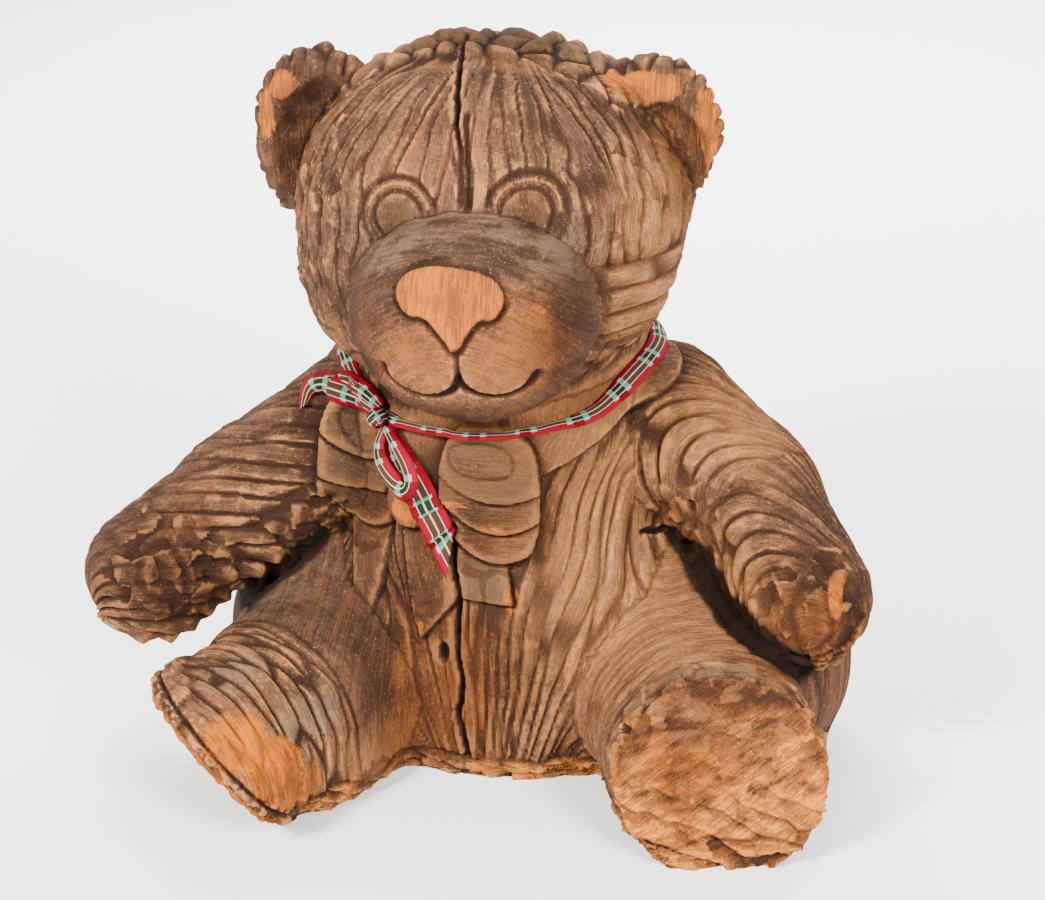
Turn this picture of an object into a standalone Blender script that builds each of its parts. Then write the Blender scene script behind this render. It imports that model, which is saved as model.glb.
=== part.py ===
"""A seated teddy bear carved from one log, with a tartan ribbon tied round its neck.

The bear faces -Y and sits on Z = 0. Its masses are roughed out as primitives, fused,
drawn onto one smooth form, then carved: fur flutes, collar, bow, eyes, nose, mouth,
the splits in the wood and the broken edge it sits on. Metres, +Z up.
"""

import itertools
import math
from dataclasses import dataclass, replace

import bpy
import bmesh
import numpy as np
from mathutils import Euler, Matrix, Vector
from mathutils.bvhtree import BVHTree

BEAR_HEIGHT = 0.400
RIBBON_WIDTH = 0.016
RIBBON_THICKNESS = 0.0010
RIBBON_GAP = 0.0012

# The figure keeps its pose, proportions and carving as four-hundredths of its own height,
# and every bare length in the carving below is in those shares.
SHARE = BEAR_HEIGHT / 400

ROUGH_VOXEL = 4.0
CARVED_VOXEL = 2.5
BEAR_TRIANGLES = 8400
WASTE = 1.5

SPLIT_DEPTH = 7.0
FLUTE_DEPTH = 2.8
COLLAR_RISE = 2.0


def smooth_union(first, second, blend):
    near = np.clip(1 - np.abs(first - second) / blend, 0, 1)
    return np.minimum(first, second) - near**2 * blend / 4


@dataclass
class Lump:
    """An ellipsoid mass: its middle, half sizes, turn in degrees, how softly it joins, its hollow."""

    region: str
    middle: tuple
    radii: tuple
    turn: tuple = (0, 0, 0)
    blend: float = 14.0
    hollow: "Lump" = None

    def distance(self, points):
        axes = np.array(Euler([math.radians(a) for a in self.turn]).to_matrix())
        local = (points - np.array(self.middle)) @ axes
        radii = np.array(self.radii)
        inner = np.linalg.norm(local / radii, axis=1)
        outer = np.linalg.norm(local / radii**2, axis=1) + 1e-9
        distance = inner * (inner - 1) / outer
        if self.hollow:
            distance = -smooth_union(-distance, self.hollow.distance(points), self.hollow.blend)
        return distance


@dataclass
class Limb:
    """A round limb that tapers from one ball to another, cut flat at its end if it has a sole."""

    region: str
    start: tuple
    end: tuple
    start_radius: float
    end_radius: float
    blend: float = 14.0
    sole: tuple = None

    def distance(self, points):
        start, end = np.array(self.start), np.array(self.end)
        along = end - start
        share = np.clip((points - start) @ along / (along @ along), 0, 1)
        nearest = start + share[:, None] * along
        radius = self.start_radius + share * (self.end_radius - self.start_radius)
        distance = np.linalg.norm(points - nearest, axis=1) - radius
        if self.sole:
            distance = np.maximum(distance, (points - end) @ np.array(self.sole))
        return distance


LEFT_CUP = Lump("ear", (-86, -24, 326), (22, 22, 33), turn=(0, 0, 14), blend=3)
RIGHT_CUP = Lump("ear", (85, -24, 326), (26, 22, 27), turn=(0, 0, -14), blend=3)

ARM_GAP = 8.0

BODY = [
    Lump("torso", (6, 4, 84), (94, 84, 104), blend=20),
    Lump("torso", (6, 0, 22), (94, 78, 56), blend=16),
    Lump("torso", (4, 4, 176), (84, 70, 66), blend=26),
    Lump("head", (-1, -8, 296), (102, 88, 80), blend=8),
    Lump("head", (1, -14, 262), (91, 78, 60), blend=20),
    Lump("muzzle", (3, -88, 263), (60, 54, 50), turn=(-8, 0, 0), blend=3),
    Lump("left_leg", (-84, 2, 46), (66, 68, 72), blend=18),
    Lump("right_leg", (112, 0, 48), (74, 70, 76), blend=18),
    Limb("left_leg", (-74, -32, 40), (-115, -131, 35), 55, 47, blend=16, sole=(-0.693, -0.375, -0.616)),
    Limb("right_leg", (102, -34, 44), (138, -127, 44), 57, 50, blend=16, sole=(0.18, -0.976, 0.12)),
]
EARS = [
    Lump("ear", (-91, -2, 330), (32, 19, 40), turn=(0, 0, 12), blend=8, hollow=LEFT_CUP),
    Lump("ear", (78, -2, 333), (37, 19, 38), turn=(0, 0, -12), blend=8, hollow=RIGHT_CUP),
]
UPPER_ARMS = [
    Limb("left_arm", (-70, 0, 172), (-131, -25, 131), 40, 36, blend=9),
    Limb("right_arm", (84, 4, 180), (134, -15, 150), 40, 36, blend=9),
]
FOREARMS = [
    Limb("left_arm", (-131, -25, 131), (-172, -52, 102), 36, 33, blend=12),
    Limb("right_arm", (134, -15, 150), (168, -48, 108), 36, 34, blend=12),
]
MASSES = BODY + EARS + UPPER_ARMS + FOREARMS


def form(points):
    """The figure's smooth form before carving: below 0 inside the wood, above 0 outside."""
    body = None
    for mass in BODY + EARS:
        distance = mass.distance(points)
        body = distance if body is None else smooth_union(body, distance, mass.blend)
    whole = body
    for upper, fore in zip(UPPER_ARMS, FOREARMS):
        forearm = fore.distance(points)
        whole = -smooth_union(-whole, forearm - ARM_GAP, 3)
        arm = smooth_union(upper.distance(points), forearm, fore.blend)
        whole = smooth_union(whole, arm, upper.blend)
    return whole


def slope(points, step=0.05):
    """The form's value and its gradient at each point."""
    value = form(points)
    parts = [(form(points + axis) - value) / step for axis in np.eye(3) * step]
    return value, np.stack(parts, axis=1)


def draw_onto_form(points, rounds=6, longest=6.0):
    """Moves the points along the form's slope until they lie on its surface."""
    for _ in range(rounds):
        value, gradient = slope(points)
        steep = np.maximum((gradient**2).sum(axis=1), 0.05)
        move = -(value / steep)[:, None] * gradient
        length = np.linalg.norm(move, axis=1, keepdims=True)
        points = points + move * np.minimum(1, longest / np.maximum(length, 1e-9))
    return points


def chance(number, seed):
    """A fixed random value from 0 to 1 for each whole number."""
    mixed = np.sin(number * 12.9898 + seed * 78.233) * 43758.5453
    return mixed - np.floor(mixed)


def noise(points, size, seed):
    """Smooth random values from -1 to 1 that turn over about once in each size."""
    cell = np.floor(points / size)
    part = points / size - cell
    ease = part * part * (3 - 2 * part)
    total = 0
    for corner in itertools.product((0, 1), repeat=3):
        value = chance((cell + corner) @ np.array((1.0, 57.0, 113.0)), seed)
        total = total + value * np.where(corner, ease, 1 - ease).prod(axis=1)
    return 2 * total - 1


def ramp(low, high, value):
    """Eases from 0 at low to 1 at high."""
    share = np.clip((value - low) / (high - low), 0, 1)
    return share * share * (3 - 2 * share)


def flutes(lane, along, length, seed):
    """How deep a gouge has cut: 0 on the ridges between its strokes, 1 along their middles."""
    row = np.floor(lane)
    across = lane - row
    valley = 1 - np.abs(2 * across**0.85 - 1) ** 1.7
    beat = along / length + chance(row, seed)
    stroke = np.floor(beat)
    taper = np.sin(np.pi * (beat - stroke)) ** 0.4
    depth = 0.65 + 0.35 * chance(row * 31 + stroke, seed + 1)
    return valley * taper * depth


def groove(distance, width):
    """A cut with sloping sides: 1 along its middle, 0 at half its width."""
    return np.clip(1 - np.abs(distance) / (width / 2), 0, 1) ** 0.7


def path_distance(u, v, path):
    """The distance from each point of a chart to a run of straight lines."""
    best = np.full(len(u), 1e9)
    for (u0, v0), (u1, v1) in zip(path, path[1:]):
        run = np.array((u1 - u0, v1 - v0), float)
        share = np.clip(((u - u0) * run[0] + (v - v0) * run[1]) / (run @ run), 0, 1)
        best = np.minimum(best, np.hypot(u - u0 - share * run[0], v - v0 - share * run[1]))
    return best


def patch_distance(u, v, corners):
    """The distance to a closed patch's edge in a chart, below 0 inside the patch."""
    inside = np.zeros(len(u), bool)
    for (u0, v0), (u1, v1) in zip(corners, corners[1:] + corners[:1]):
        crosses = (v0 > v) != (v1 > v)
        reach = u0 + (v - v0) * (u1 - u0) / ((v1 - v0) or 1e-9)
        inside ^= crosses & (u < reach)
    return np.where(inside, -1, 1) * path_distance(u, v, corners + corners[:1])


def region_shares(points):
    """How much each region owns each point; the shares add up to 1."""
    reach = {}
    for mass in MASSES:
        distance = mass.distance(points)
        reach[mass.region] = np.minimum(reach.get(mass.region, 1e9), distance)
    nearest = np.min(list(reach.values()), axis=0)
    shares = {name: np.clip(1 - (distance - nearest) / 5, 0, 1) ** 2 for name, distance in reach.items()}
    total = sum(shares.values())
    return {name: share / total for name, share in shares.items()}


HEAD_LANES = 54
HEAD_AXIS = (-1, -8)
CROWN = 368.0


def head_fur(points):
    """Flutes that fall from the crown like meridians, tufts on the crown and below the cheeks."""
    x, y, z = points.T
    sway = 0.07 * noise(points, 34, 3) + 0.02 * noise(points, 12, 4)
    angle = np.arctan2(x - HEAD_AXIS[0], -(y - HEAD_AXIS[1])) + sway
    lane = (angle / (2 * math.pi) * HEAD_LANES) % HEAD_LANES
    cut = flutes(lane, z, 95, 11)
    tuft = flutes((x + 2 * noise(points, 20, 5)) / 11.5 + 40, y + 5 * noise(points, 30, 6), 34, 12)
    crown = ramp(351, 364, z + 4 * noise(points, 16, 8)) * ramp(-42, -36, y + 2 * noise(points, 9, 9))
    relief = -FLUTE_DEPTH * cut * (1 - crown) + crown * (5.4 - 6.0 * tuft)
    cheek = ramp(62, 70, x) * ramp(286, 280, z) * ramp(-8, -22, y) * ramp(238, 246, z)
    ruff = flutes((z + 3 * noise(points, 25, 7)) / 11.5 + 0.4, x, 60, 13)
    relief = relief * (1 - cheek) - cheek * 4.4 * ruff
    jaw = ramp(244, 236, z)
    short = flutes((lane * 0.9) % HEAD_LANES, z, 17, 14)
    return relief * (1 - jaw) - jaw * 3.4 * short


TORSO_LANES = 44
TORSO_AXIS = (6, 4)


def torso_fur(points):
    """Flutes that run down the body and draw together towards the seat in front."""
    x, y, z = points.T
    angle = np.arctan2(x - TORSO_AXIS[0], -(y - TORSO_AXIS[1]))
    front = np.cos(angle / 2) ** 2
    spread = 1 + (270 / (z + 130) - 1) * front
    sway = 0.10 * noise(points, 45, 21) + 0.03 * noise(points, 15, 22)
    lane = ((angle * spread + sway) / (2 * math.pi) * TORSO_LANES) % TORSO_LANES
    return -FLUTE_DEPTH * flutes(lane, z, 105, 23)


def limb_chart(points, limbs, top):
    """The distance along a limb and the angle round it, 0 at the top and positive to the front."""
    begun = 0.0
    best = np.full(len(points), 1e9)
    along, angle = np.zeros(len(points)), np.zeros(len(points))
    for limb in limbs:
        start, end = np.array(limb.start), np.array(limb.end)
        run = end - start
        length = np.linalg.norm(run)
        run = run / length
        up = np.array(top) - run * (run @ np.array(top))
        up /= np.linalg.norm(up)
        side = np.cross(run, up)
        side *= -np.sign(side[1]) or 1
        share = (points - start) @ run
        reach = limb.distance(points)
        nearer = reach < best
        best = np.where(nearer, reach, best)
        along = np.where(nearer, begun + share, along)
        angle = np.where(nearer, np.arctan2((points - start) @ side, (points - start) @ up), angle)
        begun += length
    return along, angle


ARM_LANE = 11.5
ARM_TWIST = 12 * ARM_LANE / (2 * math.pi)


def arm_fur(points, region, phase, swing, seed):
    """Flutes that cross an arm below and run along it above, as if wound round it."""
    limbs = [mass for mass in MASSES if mass.region == region]
    along, angle = limb_chart(points, limbs, (0, 0, 1))
    wound = along + ARM_TWIST * (angle + swing * np.sin(angle + phase))
    wound = wound + 2.5 * noise(points, 30, seed) + 0.8 * noise(points, 11, seed + 1)
    lane = wound / ARM_LANE + 60
    return -FLUTE_DEPTH * flutes(lane, angle * 35, 75, seed + 2)


LEG_LANE = 10.0


def leg_fur(points, region, seed, begins):
    """Rings round a leg, at full depth towards its foot and faint on the haunch."""
    limbs = [mass for mass in MASSES if mass.region == region and isinstance(mass, Limb)]
    along, angle = limb_chart(points, limbs, (0, 0, 1))
    ring = along + 3.0 * noise(points, 32, seed) + 0.8 * noise(points, 12, seed + 1)
    cut = flutes(ring / LEG_LANE + 60, angle * 48, 68, seed + 2)
    return -FLUTE_DEPTH * cut * (0.3 + 0.7 * ramp(begins, begins + 30, along))


def ear_fur(points):
    """Flutes round the back of the ears, and plain cups in front."""
    x, y, z = points.T
    angle = np.arctan2(np.abs(x) - 86, z - 318)
    cut = flutes(angle * 5 + 0.15 * noise(points, 20, 51) + 60, y, 40, 52)
    return -2.0 * cut * ramp(-14, -4, y) + 0.6 * noise(points, 8, 53)


EYES = ((-33, 308), (29, 312.5))
EYE_RING = 19.5
EYE_BALL = 12.5
NOSE = [(0, 298), (-12, 297), (-22, 291), (-25, 284), (-21, 277), (-12, 276), (-2, 270), (5, 262),
        (10, 270), (16, 276), (23, 278), (26, 284), (25, 291), (16, 297)]
LIPS = ((-11, 250, 17), (21, 252, 16))


def carve_face(points, relief, shares):
    """Eyes in their ringed sockets, the smooth muzzle, the flat nose, the two lips and the chin."""
    x, y, z = points.T
    front = ramp(-40, -60, y)
    skin = (shares["head"] + shares["ear"]) * front
    for eye_x, eye_z in EYES:
        off = np.hypot(x - eye_x, z - eye_z)
        socket = ramp(EYE_RING + 2, EYE_RING - 1, off) * skin
        ball = 3.0 * np.sqrt(np.clip(1 - (off / EYE_BALL) ** 2, 0, 1))
        relief = relief * (1 - socket) + socket * (ball - 1.0)
        relief = relief - skin * (2.4 * groove(off - EYE_RING, 5) + 2.0 * groove(off - EYE_BALL, 4))
    smooth = shares["muzzle"]
    relief = relief * (1 - smooth) + smooth * 0.5 * noise(points, 14, 61)
    nose = patch_distance(x, z, NOSE)
    relief = relief + smooth * 2.6 * ramp(1.0, -1.0, nose)
    relief = relief - smooth * 1.6 * groove(nose - 2.2, 5) * ramp(286, 280, z) * ramp(254, 262, z)
    lips = np.min([np.hypot(x - u, z - v) - radius for u, v, radius in LIPS], axis=0)
    below = ramp(250, 244, z)
    relief = relief - smooth * below * (2.2 * ramp(-0.8, 0.8, lips) + 1.4 * groove(lips, 3.4))
    philtrum = groove(path_distance(x, z, [(5, 264), (5.5, 256), (6, 247)]), 3.6)
    return relief - smooth * 2.4 * philtrum


COLLAR_NORMAL = (-0.272, -0.426, 0.863)
COLLAR_HEIGHT = 164.5
BOW_KNOT = (-35, 150, 10.5)


def arc_height(x, low_x, low_z, half_width, rise):
    """The height of a hanging curve: lowest at low_x, higher by rise at half_width from it."""
    return low_z + rise * ((x - low_x) / half_width) ** 2


LEFT_LOOPS = [(-62, 167, 22, 8), (-62, 149, 22, 5), (-63, 128.5, 22, 12)]
RIGHT_LOOPS = [(12, 157, 24, 9), (12, 139.5, 26, 13), (13, 124.5, 28, 15)]
LEFT_LOBE = [(-44, 196), (-70, 198), (-84, 190), (-88, 170), (-88, 116), (-44, 116)]
RIGHT_LOBE = [(-18, 194), (12, 196), (25, 190), (31, 176), (32, 120), (-18, 120)]
LEFT_HOLLOW = [(-78, 190), (-76, 178), (-68, 171), (-50, 170), (-50, 190)]
RIGHT_HOLLOW = [(-14, 186), (4, 189), (18, 185), (20, 172), (8, 168), (-12, 171)]
LEFT_TAIL = [(-74, 136), (-46, 140), (-52, 104), (-58, 84), (-68, 92)]
RIGHT_TAIL = [(-41, 140), (-33, 94), (-28, 80), (-8, 106), (20, 103), (14, 138)]


def carve_bow(points, relief, shares):
    """The collar's band, and a bow of layered loops and two tails below its knot."""
    x, y, z = points.T
    cloth = shares["torso"] + shares["head"] + shares["left_arm"] + shares["right_arm"]
    band = points @ np.array(COLLAR_NORMAL) - COLLAR_HEIGHT
    wrap = ramp(-0.8, 0.8, band) * ramp(44, 34, band) * ramp(100, 92, np.hypot(x - 4, y - 4)) * cloth
    relief = relief * (1 - wrap) + wrap * (COLLAR_RISE + 0.3 * noise(points, 9, 71))
    chest = cloth * ramp(-6, -22, y)
    for tail in (LEFT_TAIL, RIGHT_TAIL):
        inside = ramp(0.8, -0.8, patch_distance(x, z, tail)) * chest
        relief = relief * (1 - inside) + inside * (1.6 + 0.3 * noise(points, 12, 72))
    sides = ((LEFT_LOOPS, LEFT_LOBE, LEFT_HOLLOW, 1.8), (RIGHT_LOOPS, RIGHT_LOBE, RIGHT_HOLLOW, 2.4))
    for loops, lobe, hollow, layer in sides:
        above = [ramp(-0.7, 0.7, z - arc_height(x, *loop)) for loop in loops]
        inside = ramp(0.8, -0.8, patch_distance(x, z, lobe)) * above[-1] * chest
        relief = relief * (1 - inside) + inside * (1.4 + layer * sum(above))
        relief = relief - chest * layer * ramp(0.8, -2.5, patch_distance(x, z, hollow))
    knot_x, knot_z, radius = BOW_KNOT
    off = np.hypot(x - knot_x, (z - knot_z) * 0.75)
    knot = ramp(0.5, -0.5, off - radius) * chest
    dome = 4 + 6 * np.sqrt(np.clip(1 - (off / radius) ** 2, 0, 1))
    relief = relief * (1 - knot) + knot * dome
    return relief - chest * 1.5 * groove(off - radius - 1, 3)


BODY_SPLIT = [(-12, 142), (-12, 124), (-8, 107), (-10, 91), (-9, 74), (-7, 55), (-10, 40), (-4, 12)]
HEAD_SPLIT = [(-14, 376), (-9, 358), (-4, 339), (-2, 316)]
SECOND_HEAD_SPLIT = [(-3, 353), (2, 315)]


def carve_splits(points, relief, shares):
    """The cracks that opened as the log dried."""
    x, y, z = points.T
    sway = 0.7 * noise(points, 9, 81)
    front = ramp(-20, -30, y)
    body = groove(path_distance(x + sway, z, BODY_SPLIT), 4.2) * shares["torso"]
    head = groove(path_distance(x + sway, z, HEAD_SPLIT), 4.0) * shares["head"]
    second = groove(path_distance(x + sway, z, SECOND_HEAD_SPLIT), 4.0) * shares["head"]
    relief = relief - front * SPLIT_DEPTH * body
    return relief - SPLIT_DEPTH * (head * 0.8 + second * 0.5) * ramp(0, -12, y)


PADS = (((-161, -79, 111), (1.0, 1.0, 0.8)), ((172, -76, 112), (1.0, 1.0, 0.8)))
PAD_RADIUS = 21.0


def carve_pads(points, relief, shares):
    """An oval pad of rings on each paw."""
    for (middle, squeeze), region in zip(PADS, ("left_arm", "right_arm")):
        off = np.linalg.norm((points - np.array(middle)) * np.array(squeeze), axis=1)
        pad = ramp(PAD_RADIUS + 2, PAD_RADIUS - 2, off) * shares[region]
        rings = 0.5 - 0.5 * np.cos(2 * math.pi * (off / 8.5 + 0.1 * noise(points, 14, 91)))
        relief = relief * (1 - pad) + pad * (0.6 - 1.6 * rings)
    return relief


def carve_soles(points, relief, shares):
    """Flat sawn soles, roughened along the grain, and the split behind the left one."""
    for mass in MASSES:
        if isinstance(mass, Limb) and mass.sole:
            behind = (points - np.array(mass.end)) @ -np.array(mass.sole)
            flat = ramp(3.0, 0.6, behind) * shares[mass.region]
            rough = 0.9 * noise(points, 9, 101) + 0.5 * noise(points * (1, 1, 0.3), 4, 102)
            relief = relief * (1 - flat) + flat * rough
            if mass.region == "left_leg":
                relief = relief - shares[mass.region] * 2.6 * groove(behind - 7.5, 2.6)
    return relief


BROKEN_EDGE = 15.0


def break_base(points, relief):
    """The ragged layered edge that the figure sits on."""
    z = points[:, 2]
    low = ramp(BROKEN_EDGE, BROKEN_EDGE - 5, z + 4 * noise(points, 16, 111))
    layers = noise(points * (1, 1, 3.0), 14, 112) + 0.6 * noise(points * (1, 1, 3.0), 7, 113)
    return relief * (1 - low) + low * (-1.6 + 1.7 * layers)


def carving(points):
    """How far the carved surface stands off the smooth form at each of its points."""
    shares = region_shares(points)
    relief = (
        shares["head"] * head_fur(points)
        + shares["torso"] * torso_fur(points)
        + shares["left_arm"] * arm_fur(points, "left_arm", 0.2, 1.2, 31)
        + shares["right_arm"] * arm_fur(points, "right_arm", 0.6, 1.5, 35)
        + shares["left_leg"] * leg_fur(points, "left_leg", 41, 0)
        + shares["right_leg"] * leg_fur(points, "right_leg", 45, 50)
        + shares["ear"] * ear_fur(points)
    )
    relief = carve_face(points, relief, shares)
    relief = carve_bow(points, relief, shares)
    relief = carve_splits(points, relief, shares)
    relief = carve_pads(points, relief, shares)
    relief = carve_soles(points, relief, shares)
    return break_base(points, relief)


def add_lump(body, lump, swell):
    made = bmesh.ops.create_uvsphere(body, u_segments=32, v_segments=20, radius=1)
    turn = Euler([math.radians(a) for a in lump.turn]).to_matrix().to_4x4()
    sizes = Matrix.Diagonal([radius + swell for radius in lump.radii] + [1])
    place = Matrix.Translation(lump.middle) @ turn @ sizes
    bmesh.ops.transform(body, matrix=place, verts=made["verts"])


def add_limb(body, limb, swell):
    start, end = Vector(limb.start), Vector(limb.end)
    first, last = limb.start_radius + swell, limb.end_radius + swell
    for middle, radius in ((start, first), (end, last)):
        made = bmesh.ops.create_uvsphere(body, u_segments=24, v_segments=16, radius=radius)
        bmesh.ops.translate(body, vec=middle, verts=made["verts"])
    length = (end - start).length
    made = bmesh.ops.create_cone(body, cap_ends=True, segments=24, radius1=first, radius2=last, depth=length)
    turn = (end - start).to_track_quat("Z", "Y").to_matrix().to_4x4()
    bmesh.ops.transform(body, matrix=Matrix.Translation((start + end) / 2) @ turn, verts=made["verts"])


def positions(mesh):
    flat = np.empty(len(mesh.vertices) * 3, np.float32)
    mesh.vertices.foreach_get("co", flat)
    return flat.reshape(-1, 3).astype(float)


def set_positions(mesh, points):
    mesh.vertices.foreach_set("co", points.astype(np.float32).ravel())
    mesh.update()


def evaluated_mesh(piece):
    """The piece's mesh with its modifiers worked out, which then takes their place."""
    graph = bpy.context.evaluated_depsgraph_get()
    mesh = bpy.data.meshes.new_from_object(piece.evaluated_get(graph))
    piece.modifiers.clear()
    piece.data = mesh
    return mesh


def fuse(piece, voxel):
    """Fuses the piece into one closed skin of even faces."""
    remesh = piece.modifiers.new("Fuse", "REMESH")
    remesh.mode = "VOXEL"
    remesh.voxel_size = voxel
    return evaluated_mesh(piece)


def thin(piece, triangles):
    """Takes away faces where the surface is nearly flat until about that many triangles are left."""
    piece.data.calc_loop_triangles()
    decimate = piece.modifiers.new("Thin", "DECIMATE")
    decimate.ratio = min(1.0, triangles / len(piece.data.loop_triangles))
    return evaluated_mesh(piece)


def cut_level(mesh, height):
    """Cuts away what is below the height and closes the cut with one flat face."""
    body = bmesh.new()
    body.from_mesh(mesh)
    geometry = body.verts[:] + body.edges[:] + body.faces[:]
    cut = bmesh.ops.bisect_plane(
        body, geom=geometry, dist=1e-5, plane_co=(0, 0, height), plane_no=(0, 0, 1), clear_inner=True
    )
    rim = [part for part in cut["geom_cut"] if isinstance(part, bmesh.types.BMEdge)]
    bmesh.ops.triangle_fill(body, edges=rim, use_beauty=True, use_dissolve=False, normal=(0, 0, -1))
    bmesh.ops.recalc_face_normals(body, faces=body.faces[:])
    bmesh.ops.triangulate(body, faces=body.faces[:])
    body.to_mesh(mesh)
    body.free()


def rough_out(parts, name, masses, swell=0.0, voxel=ROUGH_VOXEL):
    """The masses as primitives fused into one rough object, larger by swell all round."""
    body = bmesh.new()
    for mass in masses:
        (add_lump if isinstance(mass, Lump) else add_limb)(body, mass, swell)
    mesh = bpy.data.meshes.new(name)
    body.to_mesh(mesh)
    body.free()
    piece = bpy.data.objects.new(name, mesh)
    parts.objects.link(piece)
    fuse(piece, voxel)
    return piece


def combine(piece, operation, tool):
    """Cuts the piece with the tool or joins the tool to it, and uses the tool up."""
    step = piece.modifiers.new("Combine", "BOOLEAN")
    step.operation = operation
    step.object = tool
    evaluated_mesh(piece)
    bpy.data.objects.remove(tool)


def make_bear(parts):
    bear = rough_out(parts, "bear", BODY)
    combine(bear, "DIFFERENCE", rough_out(parts, "arm_clearance", FOREARMS, ARM_GAP))
    combine(bear, "UNION", rough_out(parts, "arms", UPPER_ARMS + FOREARMS))
    ears = rough_out(parts, "ears", EARS)
    combine(ears, "DIFFERENCE", rough_out(parts, "cups", [ear.hollow for ear in EARS]))
    combine(bear, "UNION", ears)
    for voxel in (ROUGH_VOXEL, CARVED_VOXEL):
        mesh = fuse(bear, voxel)
        set_positions(mesh, draw_onto_form(positions(mesh)))
    points = positions(mesh)
    normal = slope(points)[1]
    normal /= np.linalg.norm(normal, axis=1, keepdims=True)
    set_positions(mesh, points + carving(points)[:, None] * normal)
    cut_level(mesh, -WASTE)
    thin(bear, BEAR_TRIANGLES)
    cut_level(bear.data, 0)
    bear.data.name = "bear"
    return bear


RIBBON_NORMAL = np.array((-0.0706, -0.277, 0.958))
RIBBON_LEVEL = 202.0
NECK = np.array((2.0, 5.0))
NECK_STEPS = 72
TAIL_ROUTE = [(-50, -52, 192), (-40, -60, 178), (-28, -68, 160), (-18, -72, 144), (-12, -73, 130)]
TAIL_STEPS = 12
TAIL_ACROSS = (0.80, 0.10, 0.45)
TAIL_TAPER = ((0, 0.3, 0.8, 1), (0.3, 1, 1, 0.15))
KNOT = Lump("ribbon", (-51, -55, 194), (8, 6, 8), turn=(0, 0, -38))
KNOT_VOXEL = 2.0
KNOT_WAY = (-0.55, -0.75, 0.35)
BAND_LEAN = 38
BAND_FOLD = 0.8
OFF_STEP = 0.4


def neck_ring():
    """Points round the neck where the ribbon's plane leaves the wood."""
    ring = []
    for step in range(NECK_STEPS):
        angle = 2 * math.pi * step / NECK_STEPS
        reach = np.arange(30.0, 130.0, 0.5)
        ray = np.empty((len(reach), 3))
        ray[:, 0] = NECK[0] + reach * math.sin(angle)
        ray[:, 1] = NECK[1] - reach * math.cos(angle)
        ray[:, 2] = (RIBBON_LEVEL - ray[:, :2] @ RIBBON_NORMAL[:2]) / RIBBON_NORMAL[2]
        ring.append(ray[np.argmax(form(ray) > 0)])
    return np.array(ring)


def smoothed(route, rounds, closed):
    """The route with each point drawn towards its neighbours, round after round."""
    for _ in range(rounds):
        middle = (np.roll(route, 1, axis=0) + np.roll(route, -1, axis=0)) / 2
        if not closed:
            middle[[0, -1]] = route[[0, -1]]
        route = (route + middle) / 2
    return route


def clearance(wood, place):
    """How far the place is from the wood, below 0 inside it."""
    near, normal, _, distance = wood.find_nearest(place)
    return math.copysign(distance, (place - near).dot(normal))


def stand_off(wood, left, right, out, gap):
    """Moves each row of a band out until all of it is the gap clear of the wood."""
    rows = []
    for low, high, way in zip(left, right, out):
        low, high, way = Vector(low), Vector(high), Vector(way)
        while min(clearance(wood, low.lerp(high, share)) for share in (0, 0.25, 0.5, 0.75, 1)) < gap:
            low, high = low + way * OFF_STEP, high + way * OFF_STEP
        rows.append((low, high))
    return np.array([row[0] for row in rows]), np.array([row[1] for row in rows])


def strip(parts, name, left, right, closed):
    """A band of cloth between two edges, as a closed solid of the ribbon's thickness."""
    band = bmesh.new()
    rows = len(left) + (1 if closed else 0)
    bmesh.ops.create_grid(band, x_segments=rows - 1, y_segments=1, size=1)
    for vertex in band.verts:
        row = round((vertex.co.x + 1) / 2 * (rows - 1)) % len(left)
        share = (vertex.co.y + 1) / 2
        vertex.co = Vector(left[row] * (1 - share) + right[row] * share)
    if closed:
        bmesh.ops.remove_doubles(band, verts=band.verts[:], dist=1e-4)
    mesh = bpy.data.meshes.new(name)
    band.to_mesh(mesh)
    band.free()
    piece = bpy.data.objects.new(name, mesh)
    parts.objects.link(piece)
    wall = piece.modifiers.new("Thickness", "SOLIDIFY")
    wall.thickness = RIBBON_THICKNESS / SHARE
    wall.offset = 0
    evaluated_mesh(piece)
    return piece


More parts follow.
